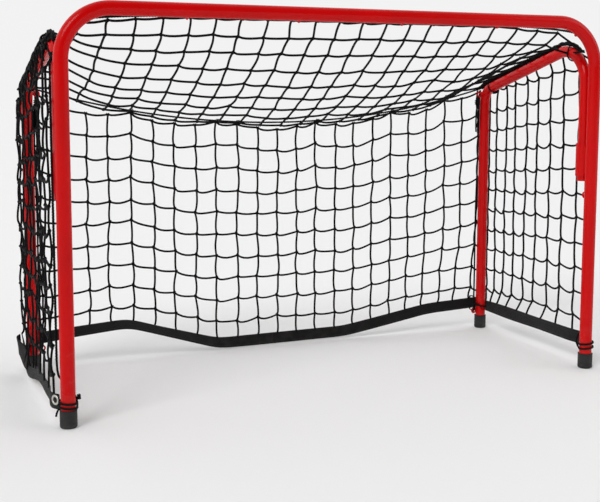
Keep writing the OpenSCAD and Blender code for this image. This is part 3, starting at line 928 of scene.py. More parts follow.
@dataclass
class Metalwork:
    """The tubes, sleeves and wire eyes, and the welds that join them."""

    finishes: Finishes
    bead_r: float = 2.3
    bead_length: float = 48.0
    bead_apart: float = 5.2
    bead_ripple: float = 4.2
    blob_r: float = 2.4
    red_nodes: tuple[str, ...] = (
        "front_frame", "left_hinge_sleeve", "right_hinge_sleeve", "left_side_frame", "right_side_frame",
        "crossbar_eyes", "left_post_eye", "right_post_eye", "left_leg_eyes", "right_leg_eyes",
    )  # fmt: skip

    def dress(self) -> None:
        """Gives the carried-over nodes their finishes."""
        for name in self.red_nodes:
            self.finish_node(name, self.finishes.red)
        for side in Side:
            self.sleeve_beads(side)
        self.eye_welds()

    def finish_node(self, name: str, material: bpy.types.Material) -> None:
        """Assigns a material to a node of the frame."""
        node = frame["nodes"][name]
        node.data.materials.clear()
        node.data.materials.append(material)
        log.info("%s: %s", name, material.name)

    def sleeve_beads(self, side: Side) -> None:
        """Two weld beads between a post and its hinge sleeve."""
        low, high = (Vector(c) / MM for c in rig.box(f"{side.word}_hinge_sleeve"))
        z = (low.z + high.z) / 2
        for k, across in enumerate((-1, 1)):
            deselect()
            x = side.value * L.post_x + across * self.bead_apart
            bpy.ops.mesh.primitive_cylinder_add(
                vertices=12, radius=self.bead_r * MM, depth=self.bead_length * MM,
                location=L.at(x, L.post_r + 0.4, z),
            )  # fmt: skip
            bead = new_primitive()
            bpy.ops.object.mode_set(mode="EDIT")
            bpy.ops.mesh.subdivide(number_cuts=21)
            bpy.ops.object.mode_set(mode="OBJECT")
            rng = random.Random(17 + k + 2 * side.value)
            for vertex in bead.data.vertices:
                wave = math.cos(vertex.co.z / MM * 2 * math.pi / self.bead_ripple)
                ripple = 1 + 0.13 * wave + rng.uniform(-0.02, 0.02)
                taper = min(1.0, (self.bead_length / 2 - abs(vertex.co.z) / MM + 0.6) / 2.6)
                vertex.co.x *= ripple * taper
                vertex.co.y *= ripple * taper
            settle(bead, f"{side.word}_sleeve_weld_{k + 1}", self.finishes.red, "red_coat", 60)
            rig.ride(bead, FRONT_BODY)
            log.info("%s: weld bead", bead.name)

    def eye_welds(self) -> None:
        """A small weld where each wire eye meets its tube."""
        spots: list[tuple[str, str, Vector]] = []
        turn = math.radians(L.eye_turn)
        bar = Vector((0, math.cos(turn), -math.sin(turn)))
        for k, x in enumerate(L.bar_eye_xs):
            spot = L.at(x, 0, L.bar_z) + bar * L.post_r * MM
            spots.append((f"crossbar_eye_weld_{k + 1}", FRONT_BODY, spot))
        for side in Side:
            s = side.value
            post_eye = middle(f"{side.word}_post_eye")
            behind_post = Vector((post_eye.x, (L.goal_y + L.post_r) * MM, post_eye.z))
            spots.append((f"{side.word}_post_eye_weld", FRONT_BODY, behind_post))
            x, y, z = L.corner(L.corner_eye_turn, L.post_r)
            spots.append((f"{side.word}_corner_eye_weld", FRONT_BODY, L.at(s * x, y, z)))
            low, high = (Vector(c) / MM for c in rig.box(f"{side.word}_leg_eyes"))
            inner = s * (L.post_x - L.side_r)
            spots.append((f"{side.word}_leg_eye_weld_low", side.body, L.at(inner, L.leg_y, low.z + 6)))
            spots.append((f"{side.word}_leg_eye_weld_top", side.body, L.at(inner, L.leg_y - 5.3, high.z - 6)))
        for name, body, at in spots:
            deselect()
            bpy.ops.mesh.primitive_ico_sphere_add(subdivisions=3, radius=self.blob_r * MM, location=at)
            blob = new_primitive()
            rng = random.Random(name)
            for vertex in blob.data.vertices:
                lump = 0.06 * math.sin(1900 * vertex.co.x + 2300 * vertex.co.z)
                vertex.co *= 1 + lump + rng.uniform(-0.02, 0.02)
            settle(blob, name, self.finishes.red, "red_coat", 60)
            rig.ride(blob, body)
        log.info("%d eye welds", len(spots))


@dataclass
class RubberFoot:
    """A moulded rubber cap: a chamfered tread, two fine ribs and a rolled lip round the tube."""

    node: str
    body: str
    tube_r: float
    ribs: tuple[float, ...] = (8.0, 12.5)

    def build(self, finishes: Finishes) -> None:
        """Models the foot in place of its node, in the goal's rubber."""
        low, high = (Vector(c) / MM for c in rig.box(self.node))
        r, h = (high.x - low.x) / 2, high.z
        rings = [(r - 5.5, 0.0), (r - 2.6, 0.0), (r - 1.0, 0.7), (r - 0.2, 2.2), (r, 4.0)]
        for z in self.ribs:
            rings += [(r, z - 0.9), (r - 0.45, z - 0.3), (r - 0.45, z + 0.3), (r, z + 0.9)]
        rings += [(r - 0.15, h - 5.0), (r - 0.3, h - 2.4), (r + 0.1, h - 1.5), (r, h - 0.5), (r - 0.6, h)]
        rings += [(self.tube_r + 0.3, h), (self.tube_r + 0.05, h - 0.4), (self.tube_r + 0.05, h - 4.0)]
        centre = Vector(((low.x + high.x) / 2, (low.y + high.y) / 2, 0)) * MM
        foot = turned_solid([(a * MM, z * MM) for a, z in rings], centre)
        bevel = foot.modifiers.new("soft_edges", "BEVEL")
        bevel.width, bevel.segments, bevel.limit_method = 0.0003, 2, "ANGLE"
        settle(foot, f"{self.node}_cap", finishes.rubber, "black_rubber")
        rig.replaces(foot, self.node)
        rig.ride(foot, self.body)
        log.info("%s: rubber foot", foot.name)


# ---------------------------------------------------------------- nets


def spaced(first: float, pitch: float, count: int) -> list[float]:
    """Evenly spaced places."""
    return [first + pitch * k for k in range(count)]


@dataclass
class Netting:
    """A knotted square mesh on a grid of knots, with cords that sag and waver between them."""

    knots: list[list[Vector]]
    cord_r: float = 1.9
    dip: float = 5.2
    sway: float = 2.6
    seed: int = 1
    rows_to_skip: tuple[int, ...] = ()
    columns_to_skip: tuple[int, ...] = ()
    out: Vector = field(default_factory=lambda: Vector((0, 1, 0)))
    belly: float = 0.8

    def strand(self, ends: list[Vector], fall: Vector, rng: random.Random, size: float) -> list[Vector]:
        """A cord through its knots, bowed between each two of them.

        Args:
            ends: The knots along the cord.
            fall: Direction in which the cord bows.
            rng: Source of the uneven bows.
            size: Largest bow, in millimetres.

        Returns:
            Points of the cord.
        """
        path = [ends[0]]
        for a, b in zip(ends, ends[1:]):
            bow = fall * size * MM * rng.uniform(0.35, 1.0)
            bow += self.out * rng.uniform(-self.belly, self.belly) * MM
            skew = rng.uniform(0.5, 0.9)
            for t in (0.14, 0.3, 0.5, 0.7, 0.86):
                path.append(a.lerp(b, t) + bow * math.sin(math.pi * t**skew))
            path.append(b)
        return path

    def fill(self, mesh: CordMesh) -> None:
        """Adds the net's cords and knots to a mesh."""
        rng, k, radius = random.Random(self.seed), self.knots, self.cord_r * MM
        last, top = len(k) - 1, len(k[0]) - 1
        rows = [j for j in range(top + 1) if j not in self.rows_to_skip]
        columns = [i for i in range(last + 1) if i not in self.columns_to_skip]
        for j in rows:
            mesh.sweep(self.strand([column[j] for column in k], -UP, rng, self.dip), radius)
        for i in columns:
            aside = (k[min(i + 1, last)][0] - k[max(i - 1, 0)][0]).normalized()
            mesh.sweep(self.strand(k[i], aside * rng.choice((-1, 1)), rng, self.sway), radius)
        for i in columns:
            for j in rows:
                u = (k[min(i + 1, last)][j] - k[max(i - 1, 0)][j]).normalized()
                v = (k[i][min(j + 1, top)] - k[i][max(j - 1, 0)]).normalized()
                mesh.knot(k[i][j], u, v, radius)


@dataclass(frozen=True)
class SideHang:
    """How one side's net hangs: its gaps, their pitch and how far cords and knots stray, in millimetres."""

    gaps: int
    pitch: float
    lean: float
    aside: float
    outward: tuple[float, float]
    rise: float
    dip: float
    sway: float
    belly: float
    band: tuple[tuple[float, float], ...]


HANGS = {
    Side.LEFT: SideHang(
        gaps=13, pitch=39.0, lean=0.0, aside=8.0, outward=(-3.5, 0.5), rise=2.6, dip=9.0, sway=6.0, belly=3.2,
        band=(
            (3.5, 38.0), (110.0, 36.0), (176.0, 38.0), (292.0, 15.0),
            (322.0, 26.0), (345.0, 52.0), (360.0, 58.0),
        ),
    ),
    Side.RIGHT: SideHang(
        gaps=12, pitch=44.7, lean=20.0, aside=2.4, outward=(0.0, 1.6), rise=0.8, dip=8.0, sway=2.8, belly=0.8,
        band=((3.5, 44.5), (360.0, 44.5)),
    ),
}  # fmt: skip


@dataclass
class GoalNet:
    """The whole net: back, top and two sides, each side of it carried by what swings."""

    finishes: Finishes
    back_y: float = 366.5
    side_x: float = 478.8
    back_pitch: float = 40.8
    back_first: float = -439.8
    back_columns: int = 23
    back_rows: int = 10
    top_pitch: float = 41.4
    top_first: float = -428.0
    top_columns: int = 21
    top_gaps: int = 8
    top_drift: tuple[tuple[float, float], ...] = (
        (0.0, 0.0), (0.125, 10.0), (0.25, 14.0), (0.375, 18.0), (0.5, 20.0), (0.75, 24.0), (1.0, 29.0),
    )  # fmt: skip
    front_gap: float = 14.5
    side_first: float = 16.0
    side_last: float = 361.0
    side_count: int = 10
    rope_sag: float = 66.0
    rope_y: float = 364.5
    tied_columns: tuple[int, ...] = (4, 8, 9, 13, 17, 20)
    back_band: tuple[tuple[float, float], ...] = (
        (-471.0, 50.0), (-401.0, 57.0), (-286.0, 66.0), (-221.0, 46.0),
        (-111.0, 13.0), (151.0, 15.0), (341.0, 46.0), (471.0, 52.0),
    )  # fmt: skip
    band_half: float = 10.0
    post_top: float = 548.0
    edge_in: float = 9.0

    @property
    def back_xs(self) -> list[float]:
        """Places of the back net's columns between the corners."""
        return spaced(self.back_first, self.back_pitch, self.back_columns)

    @property
    def top_xs(self) -> list[float]:
        """Places of the top net's columns between the corners."""
        return spaced(self.top_first, self.top_pitch, self.top_columns)

    @property
    def front_y(self) -> float:
        """Depth of the top net's front edge, behind the crossbar."""
        return L.post_r + self.front_gap

    @property
    def side_columns(self) -> list[float]:
        """Places of a side net's columns along Y, closer together towards the back."""
        span, last = self.side_last - self.side_first, self.side_count - 1
        return [self.side_first + span * k / last * (1.25 - 0.25 * k / last) for k in range(last + 1)]

    @property
    def pinches(self) -> list[float]:
        """Where the back's upper edge is tied to the rope: at both corners and at some of its columns."""
        xs = self.back_xs
        return [-L.post_x, *(xs[k] for k in self.tied_columns), L.post_x]

    def rope_z(self, x: float) -> float:
        """Height of the rope over the back, an arc between the rear corners."""
        end = L.rail_z(L.leg_y) + 5.5
        return end - self.rope_sag * (1 - (x / L.post_x) ** 2)

    def scallop(self, x: float) -> float:
        """How far the net's upper edge hangs below that rope, between the points where it is tied."""
        for a, b in zip(self.pinches, self.pinches[1:]):
            if a <= x <= b:
                share = (x - a) / (b - a)
                deepest = 17.0 if a < -400 else min(10.0, 0.075 * (b - a))
                return 3.0 + deepest * math.sin(math.pi * share)
        return 3.0

    def back_knots(self, rng: random.Random) -> list[list[Vector]]:
        """Knots of the back net, from the webbing up to the rope."""
        grid = []
        for x in (-L.post_x - 12, *self.back_xs, L.post_x + 12):
            low = eased(x, self.back_band) + self.band_half - 2
            top = self.rope_z(max(-L.post_x, min(L.post_x, x))) - self.scallop(x)
            first = low + lookup(abs(x), ((0.0, 36.0), (300.0, 28.0), (L.post_x, 25.0)))
            outer = abs(x) > L.post_x
            pull = 0.0 if outer else -16 * max(0.0, x - 240) / 200
            column = [L.at(x + pull, self.back_y, low)]
            for j in range(self.back_rows):
                z = first + (top - first) * j / (self.back_rows - 1)
                drop = 13.0 * max(0.0, 1 - j / 6) if outer and x > 0 else 0.0
                shift = 0 if outer else rng.uniform(-2.2, 2.2) + pull * max(0.0, 0.75 - j / 4)
                depth = self.back_y + rng.uniform(-0.3, 1.4)
                column.append(L.at(x + shift, depth, z - drop + rng.uniform(-2.0, 2.0)))
            grid.append(column)
        return grid

    def top_knots(self, rng: random.Random) -> list[list[Vector]]:
        """Knots of the top net, a sheet from the crossbar to the rope that lifts to the rails."""
        grid = []
        front_y, rear_y = self.front_y, self.rope_y - 1.0
        for x in (-L.post_x + 5.5, *self.top_xs, L.post_x - 5.5):
            column, at_rail = [], abs(x) > L.post_x - 10
            for j in range(self.top_gaps + 1):
                v = j / self.top_gaps
                px = x if at_rail else x + lookup(v, self.top_drift) * (1 - (x / L.post_x) ** 4)
                py = front_y + (rear_y - front_y) * v
                pz = self.top_z(px, py, v)
                if 0 < j < self.top_gaps and not at_rail:
                    px += rng.uniform(-2, 2)
                    pz += rng.uniform(-2, 2)
                column.append(L.at(px, py, pz))
            grid.append(column)
        return grid

    def top_z(self, x: float, y: float, v: float) -> float:
        """Height of the top net at a point and its share of the way to the back."""
        under_bar = [(0.0, L.bar_z - 8), (270.0, L.bar_z - 8), (434.0, 592.0), (L.post_x, 556.0)]
        rear = self.rope_z(x) - 0.45 * self.scallop(x)
        flat = lookup(abs(x), under_bar) * (1 - v) + rear * v - 16 * math.sin(math.pi * v**1.25)
        over_bend = [(20.0, 560.0), (64.0, L.bend_top + 14.3), (104.0, L.bend_top + 13.0)]
        rim = [*over_bend, (328.0, 516.5), (363.0, 501.5)]
        t = max(0.0, (abs(x) - L.post_x + 125) / 120)
        t = min(1.0, t) * min(1.0, 3.2 * v)
        lift = t * t * (3 - 2 * t)
        return flat * (1 - lift) + lookup(y, rim) * lift

    def side_top(self, y: float) -> float:
        """Height of a side net's upper edge: its own at the post, then just over the bend and the rail."""
        if y < L.hinge_y + 8:
            return self.post_top
        rim = L.rail_z(y) if y < L.leg_y - 20 else L.rail_z(L.leg_y) - (y - L.leg_y + 20) * 0.3
        return min(rim + 7, L.bend_top + 6)

    def side_knots(self, side: Side, rng: random.Random) -> list[list[Vector]]:
        """Knots of a side net, outside its frame, from the webbing up to the rail."""
        hang, tight, grid = HANGS[side], HANGS[Side.RIGHT], []
        gaps = hang.gaps
        for y in self.side_columns:
            low, top = eased(y, hang.band) + self.band_half - 2, self.side_top(y)
            lean = hang.lean * min(1.0, max(0.0, y - 80) / 80) * min(1.0, max(0.0, 352 - y) / 40)
            column = [L.at(side.value * self.side_x, y + lean, low)]
            spread = hang.pitch - 0.0137 * (y - 120)
            outward = hang.outward if y > 30 else tight.outward
            for j in range(1, gaps + 1):
                z = min(83.5 + spread * (j - 1), top - 1.5 * (gaps - j)) if j < gaps else top
                z = max(z, low + 24.0 * j)
                slack = rng.uniform(-hang.aside, hang.aside)
                shift = slack if 20 < y < 350 else 0.0
                x = self.side_x + rng.uniform(*outward)
                if j == gaps:
                    x, shift = self.side_x - self.edge_in, 0.0
                column.append(L.at(side.value * x, y + shift, z + rng.uniform(-2.5, 2.5) * hang.rise))
            grid.append(column)
        return grid

    def build(self) -> None:
        """Makes the four nets, the back and top ones in a left and a right half that meet in the middle."""
        back = self.back_knots(random.Random(3))
        top = self.top_knots(random.Random(5))
        c, d = (self.back_columns + 1) // 2, (self.top_columns + 1) // 2
        halves = (
            (Side.LEFT, back[: c + 1], top[: d + 1], (0,), ()),
            (Side.RIGHT, back[c:], top[d:], (0, len(back) - c - 1), (0,)),
        )
        for side, back_half, top_half, skip_back, skip_top in halves:
            s = side.value
            name = f"back_net_{side.word}"
            net = Netting(back_half, seed=11 + s, rows_to_skip=(0,), columns_to_skip=skip_back)
            piece = self.make(name, net)
            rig.replaces(piece, "back_net")
            at_middle = back[c][0]
            at_post = Vector((s * L.post_x * MM, at_middle.y, at_middle.z))
            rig.blend(piece, FRONT_BODY, side.body, at_middle, at_post)
            name = f"top_net_{side.word}"
            net = Netting(top_half, seed=21 + s, dip=2.6, columns_to_skip=skip_top, out=UP)
            piece = self.make(name, net)
            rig.replaces(piece, "top_net")
            hinge = L.at(s * L.post_x, L.hinge_y, 0)
            slope = Vector((s / (L.post_x * MM), 1 / ((L.leg_y - L.hinge_y) * MM), 0))
            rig.blend(piece, FRONT_BODY, side.body, hinge, hinge + slope / slope.length_squared)
            knots, hang = self.side_knots(side, random.Random(31 + s)), HANGS[side]
            net = Netting(knots, dip=hang.dip, sway=hang.sway, seed=41 + s, rows_to_skip=(0,))
            net.out, net.belly = Vector((s, 0, 0)), hang.belly
            piece = self.make(f"{side.word}_side_netting", net)
            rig.replaces(piece, f"{side.word}_side_net")
            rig.ride(piece, side.body)

    def make(self, name: str, net: Netting) -> bpy.types.Object:
        """Builds one net as a piece."""
        mesh = CordMesh(6)
        net.fill(mesh)
        piece = mesh.build(name, self.finishes.cord, "black_cord")
        log.info("%s: %d faces", name, len(piece.data.polygons))
        return piece


# ---------------------------------------------------------------- ropes, ties and webbing


@dataclass
class Cordage:
    """The rope round the mouth, the ropes over the back and on the rails, and the lashings."""

    finishes: Finishes
    net: GoalNet
    rope_r: float = 2.0
    rope_pitch: float = 13.0
    cord_r: float = 1.7
    rope_off: float = 15.5
    loop_r: float = 0.9
    thin_rope_r: float = 1.8
    loops_to: float = 300.0
    tail_starts: tuple[tuple[float, float], ...] = ((18, 15.0), (30, 11.0))
    tie_start: float = 99.5
    tie_rise: float = 13.0

    def mouth_rope(self) -> None:
        """Rope through the crossbar's eyes, round the corners and down behind both posts."""
        bar_y, bar_z = L.bar_eye
        half = [L.at(0, bar_y, bar_z), L.at(L.bar_eye_xs[-1], bar_y, bar_z)]
        for turn, off in ((L.corner_eye_turn, L.post_r + L.eye_reach), (20, self.rope_off)):
            half.append(L.at(*L.corner(turn, off)))
        post_end = L.bar_z - L.corner_r
        for turn, z in ((43, post_end), (20, post_end - 31), (20, 300), (20, self.tie_start)):
            half.append(L.round_post(Side.RIGHT, turn, self.rope_off, z))
        mirrored = [Vector((-p.x, p.y, p.z)) for p in reversed(half[1:])]
        mesh = CordMesh(6)
        path = smooth_path(mirrored + half, self.rope_pitch * MM / 8)
        mesh.twist(path, self.rope_r * MM, 3, self.rope_pitch * MM)
        piece = mesh.build("mouth_rope", self.finishes.rope, "black_cord")
        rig.replaces(piece, "front_edge_rope")
        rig.ride(piece, FRONT_BODY)
        log.info("mouth_rope: %d faces", len(piece.data.polygons))

    def rear_rope(self) -> None:
        """Rope over the back in two halves that meet in the middle."""
        net = self.net
        for side in Side:
            s = side.value
            xs = [L.post_x * k / 24 for k in range(25)]
            path = [L.at(s * x, net.rope_y + 0.5, net.rope_z(x)) for x in xs]
            mesh = CordMesh(6)
            curve = smooth_path(path, self.rope_pitch * MM / 8)
            mesh.twist(curve, self.thin_rope_r * MM, 3, self.rope_pitch * MM)
            piece = mesh.build(f"rear_rope_{side.word}", self.finishes.rope, "black_cord")
            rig.replaces(piece, "rear_top_rope")
            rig.blend(piece, FRONT_BODY, side.body, path[0], Vector((path[-1].x, path[0].y, path[0].z)))

    def net_loops(self) -> None:
        """Small loops that tie the net's edges to the ropes in the mouth and over the back."""
        net, mesh = self.net, CordMesh(6)
        bar_y, bar_z = L.bar_eye
        y, half = (bar_y + net.front_y) / 2, (net.front_y - bar_y) / 2 + 2.6
        for x in net.top_xs:
            if abs(x) > self.loops_to:
                continue
            ring = []
            for m, a in circle(12):
                z = bar_z - 0.4 + 3.4 * math.sin(a)
                ring.append(L.at(x + 0.25 * m - 1.5, y + half * math.cos(a), z))
            mesh.sweep(ring, self.loop_r * MM)
        piece = mesh.build("mouth_net_loops", self.finishes.cord, "black_cord")
        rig.ride(piece, FRONT_BODY)
        for side in Side:
            mesh = CordMesh(6)
            s = side.value
            for x in net.pinches[1:-1]:
                if x * s <= 0:
                    continue
                z = net.rope_z(x) - 1.0
                for turn in range(2):
                    ring = []
                    for m, a in circle(12):
                        y = net.rope_y + 1.0 + 3.4 * math.sin(a)
                        ring.append(L.at(x + 2.4 * turn + 0.2 * m, y, z + 3.8 * math.cos(a)))
                    mesh.sweep(ring, self.loop_r * MM)
            piece = mesh.build(f"rear_net_loops_{side.word}", self.finishes.cord, "black_cord")
            start = L.at(0, net.rope_y, 450)
            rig.blend(piece, FRONT_BODY, side.body, start, Vector((s * L.post_x * MM, start.y, start.z)))

    def rail_bundle(self, side: Side) -> None:
        """Gathered rope that lies along the top of a rail, and the lacing that holds the net to it."""
        s, off = side.value, L.side_r + 4.4
        slope, r = math.radians(L.rail_slope), L.front_bend_r
        route = []
        for turn in (125, 108, 90, 90 - L.rail_slope):
            a = math.radians(turn)
            y = L.hinge_y + r + (r + off) * math.cos(a)
            route.append(L.at(s * L.post_x, y, L.bend_top - r + (r + off) * math.sin(a)))
        for y in (150.0, 200.0, 250.0, 300.0, 326.0, 342.0):
            route.append(L.at(s * L.post_x, y + off * math.sin(slope), L.rail_z(y) + off * math.cos(slope)))
        route.append(L.at(s * (L.post_x - 1.0), self.net.rope_y - 1.0, self.net.rope_z(L.post_x) + 1.0))
        rng = random.Random(61 + s)
        mesh = CordMesh(7)
        path = smooth_path(route, 3.0 * MM)
        for k in range(3, len(path) - 3):
            path[k] += Vector((rng.uniform(-0.25, 0.25), 0, rng.uniform(0, 0.3))) * MM
        mesh.twist(path, (4.4 if side.loose else 4.0) * MM, 3, 62 * MM, 0.05)
        for y in (58.0, 318.0):
            mesh.sweep(self.rail_loop(side, y, rng), 1.3 * MM)
        if side.loose:
            self.gathered_folds(mesh, s, rng)
        piece = mesh.build(f"{side.word}_rail_bundle", self.finishes.cord, "black_cord")
        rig.replaces(piece, f"{side.word}_rail_rope")
        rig.ride(piece, side.body)

    def gathered_folds(self, mesh: CordMesh, s: int, rng: random.Random) -> None:
        """Slack net that lies gathered over the top and outer side of a rail.

        Args:
            mesh: Mesh that takes the cords.
            s: Sign of the side's X.
            rng: Source of their wandering.
        """
        for k in range(6):
            line = []
            for m in range(13):
                y = 50.0 + 24.5 * m
                off = 3.0 + 2.4 * k + rng.uniform(-1.5, 2.0)
                z = L.rail_z(y) + 14.0 - 3.6 * k + rng.uniform(-3.0, 3.0)
                line.append(L.at(s * (L.post_x + off), y, z))
            mesh.sweep(smooth_path(line, 4 * MM), self.cord_r * MM)
        for k in range(11):
            y = 64.0 + 26.0 * k + rng.uniform(-5, 5)
            top = L.rail_z(y)
            line = [L.at(s * (L.post_x + 3.0), y, top + 13.0)]
            for off, stray, rise in ((11.5, 4, 8.0), (15.5, 8, -5.0), (14.0, 8, -24.0)):
                line.append(L.at(s * (L.post_x + off), y + rng.uniform(-stray, stray), top + rise))
            mesh.sweep(smooth_path(line, 4 * MM), self.cord_r * MM)

    def rail_loop(self, side: Side, y: float, rng: random.Random) -> list[Vector]:
        """One turn of lacing round a rail and the rope on it."""
        s, slope = side.value, math.radians(L.rail_slope if y > L.rail_start[0] else 0)
        up = Vector((0, math.sin(slope), math.cos(slope)))
        centre = L.at(s * L.post_x, y, L.rail_z(y))
        down = Vector((0, math.cos(slope), -math.sin(slope)))
        lean, points = rng.uniform(-3, 3), []
        for m, a in circle(18):
            reach = L.side_r + 1.4 + (7.2 * max(0.0, math.cos(a)) ** 3)
            around = Vector((math.sin(a), 0, 0)) * reach + up * math.cos(a) * reach
            points.append(centre + (around + down * (lean * math.sin(a) + 0.2 * m)) * MM)
        return points

    def front_lashing(self, side: Side, low: float, knot_turn: float) -> None:
        """End of the mouth rope: two turns round the post, a knot and two loose tails.

        Args:
            side: Side of the goal.
            low: Height of the lowest turn.
            knot_turn: Where the knot sits round the post, in degrees from straight outwards.
        """
        tie_r, top = L.post_r + self.cord_r + 0.3, low + self.tie_rise
        path = [L.round_post(side, 20, self.rope_off, self.tie_start + 1.5)]
        path.append(L.round_post(side, 26, self.rope_off - 0.3, self.tie_start - 12))
        for k in range(13):
            t = k / 12
            off = tie_r + 3.0 * min(1.0, 4 * (1 - t))
            path.append(L.round_post(side, 45 + 135 * t, off, 76 + (low - 76) * t))
        sweep = 720 + knot_turn % 360 - 180
        for k in range(1, 41):
            path.append(L.round_post(side, 180 + sweep * k / 40, tie_r, low + self.tie_rise * k / 40))
        mesh = CordMesh(8)
        mesh.sweep(smooth_path(path, 2.2 * MM), self.cord_r * MM)
        centre = L.round_post(side, knot_turn, tie_r + 3.2, top + 2.0)
        spoke = (centre - L.at(side.value * L.post_x, 0, top + 2.0)).normalized()
        aside = UP.cross(spoke)
        for turn, tilt in ((0.0, 0.5), (1.0, -0.6), (2.2, 0.1)):
            ring = []
            for _, a in circle(14):
                wide = math.cos(a) * aside + math.sin(a) * (UP * math.cos(tilt) + spoke * math.sin(tilt))
                ring.append(centre + (3.1 * wide + spoke * (0.5 * turn - 0.6)) * MM)
            mesh.sweep(ring, 1.45 * MM)
        for start, length in self.tail_starts:
            tail = []
            for m in range(8):
                t = m / 7
                turn = start + (length - 10) * t
                tail.append(L.round_post(side, turn, tie_r - 0.5 + 6.0 * t, low - 1.0 - length * t * t * 0.8))
            mesh.sweep(tail, lambda t: (1.4 + 0.35 * max(0.0, t - 0.85) / 0.15) * MM)
        piece = mesh.build(f"front_{side.word}_lashing", self.finishes.cord, "black_cord")
        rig.replaces(piece, f"front_{side.word}_tie")
        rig.ride(piece, FRONT_BODY)

    def rear_lashing(self, side: Side) -> None:
        """Loop of cord through the eye of a rear leg and round the webbing, with its knot."""
        low, high = (Vector(c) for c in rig.box(f"rear_{side.word}_tie"))
        x, r = (low.x + high.x) / 2, 1.0 * MM
        y0, y1, z0, z1 = low.y + r, high.y - r + 1.2 * MM, low.z + r, high.z - r
        mesh, up, inset = CordMesh(8), 4.0 * MM, 3.0 * MM
        for lean in (-1.1, 1.1):
            corners = [(y0, z0 + up), (y0 + inset, z0), (y1 - inset, z0), (y1, z0 + up), (y1, z1 - up)]
            corners += [(y1 - inset, z1), (y0 + inset, z1), (y0, z1 - up), (y0, z0 + up)]
            loop = [Vector((x + lean * MM * k / 8, a, b)) for k, (a, b) in enumerate(corners)]
            mesh.sweep(smooth_path(loop, 2.5 * MM), r)
        centre = Vector((x, y0 - 0.0008, (z0 + z1) / 2))
        mesh.knot(centre, Vector((1, 0, 0)), UP, self.cord_r * MM)
        for way in (-1, 1):
            tail = []
            for t in (0, 0.5, 1, 1.5, 2, 2.4):
                off = Vector((way * 2.0 * t, -1.0 * t - 0.4 * t * t, 2.5 * t - 1.9 * t * t))
                tail.append(centre + off * 2.4 * MM)
            mesh.sweep(tail, 1.0 * MM)
        piece = mesh.build(f"rear_{side.word}_lashing", self.finishes.cord, "black_cord")
        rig.replaces(piece, f"rear_{side.word}_tie")
        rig.ride(piece, side.body)

    def leg_cord(self, side: Side) -> None:
        """Cords at a rear leg: a bunched tail, its binding, a cord down to the webbing and a ring there."""
        s = side.value
        low, high = (Vector(c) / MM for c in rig.box(f"{side.word}_leg_eyes"))
        x, y = L.post_x - L.side_r - 6.0, high.y - L.goal_y - 2.0
        rng, mesh = random.Random(71 + s), CordMesh(6)
        for k in range(4):
            tail = [L.at(s * (x + 5.0), y + 12.0, high.z + 1.0), L.at(s * (x + 1.5), y + 6.0, high.z - 2.5)]
            length = 46.0 + 9.0 * k
            for m in range(1, 8):
                t = m / 7
                a = 2.2 * k + 3 * t
                z = high.z - 10 - length * t + rng.uniform(-1, 1)
                tail.append(L.at(s * (x - 1.0 + 2.4 * math.cos(a)), y + 1.0 + 2.4 * math.sin(a), z))
            mesh.sweep(smooth_path(tail, 3 * MM), self.cord_r * MM)
        for turn in range(3):
            ring = []
            for m, a in circle(12):
                z = high.z - 18 - 3.2 * turn - 0.26 * m
                ring.append(L.at(s * (x - 1.0 + 4.6 * math.cos(a)), y + 1.0 + 4.6 * math.sin(a), z))
            mesh.sweep(ring, 1.2 * MM)
        down = []
        for k in range(17):
            t = k / 16
            z = high.z - 24 + (low.z + 22 - high.z) * t
            down.append(L.at(s * (L.post_x - L.side_r - 2.6 + 0.8 * math.sin(9 * t)), L.leg_y + 2 + 6 * t, z))
        mesh.sweep(smooth_path(down, 6 * MM), self.cord_r * MM)
        ring, reach = [], L.side_r + 1.9
        for m, a in circle(24):
            z = low.z + 15.0 + 3.0 * math.cos(a) + 0.12 * m
            ring.append(L.at(s * (L.post_x - reach * math.cos(a)), L.leg_y - reach * math.sin(a), z))
        mesh.sweep(ring, 1.6 * MM)
        piece = mesh.build(f"{side.word}_leg_cord", self.finishes.cord, "black_cord")
        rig.ride(piece, side.body)

    def build(self) -> None:
        """Makes every rope and lashing."""
        self.mouth_rope()
        self.rear_rope()
        self.net_loops()
        for side in Side:
            self.rail_bundle(side)
            self.rear_lashing(side)
            self.leg_cord(side)
        self.front_lashing(Side.RIGHT, 35.5, 38)
        self.front_lashing(Side.LEFT, 29.2, 176)
        log.info("ropes and lashings made")


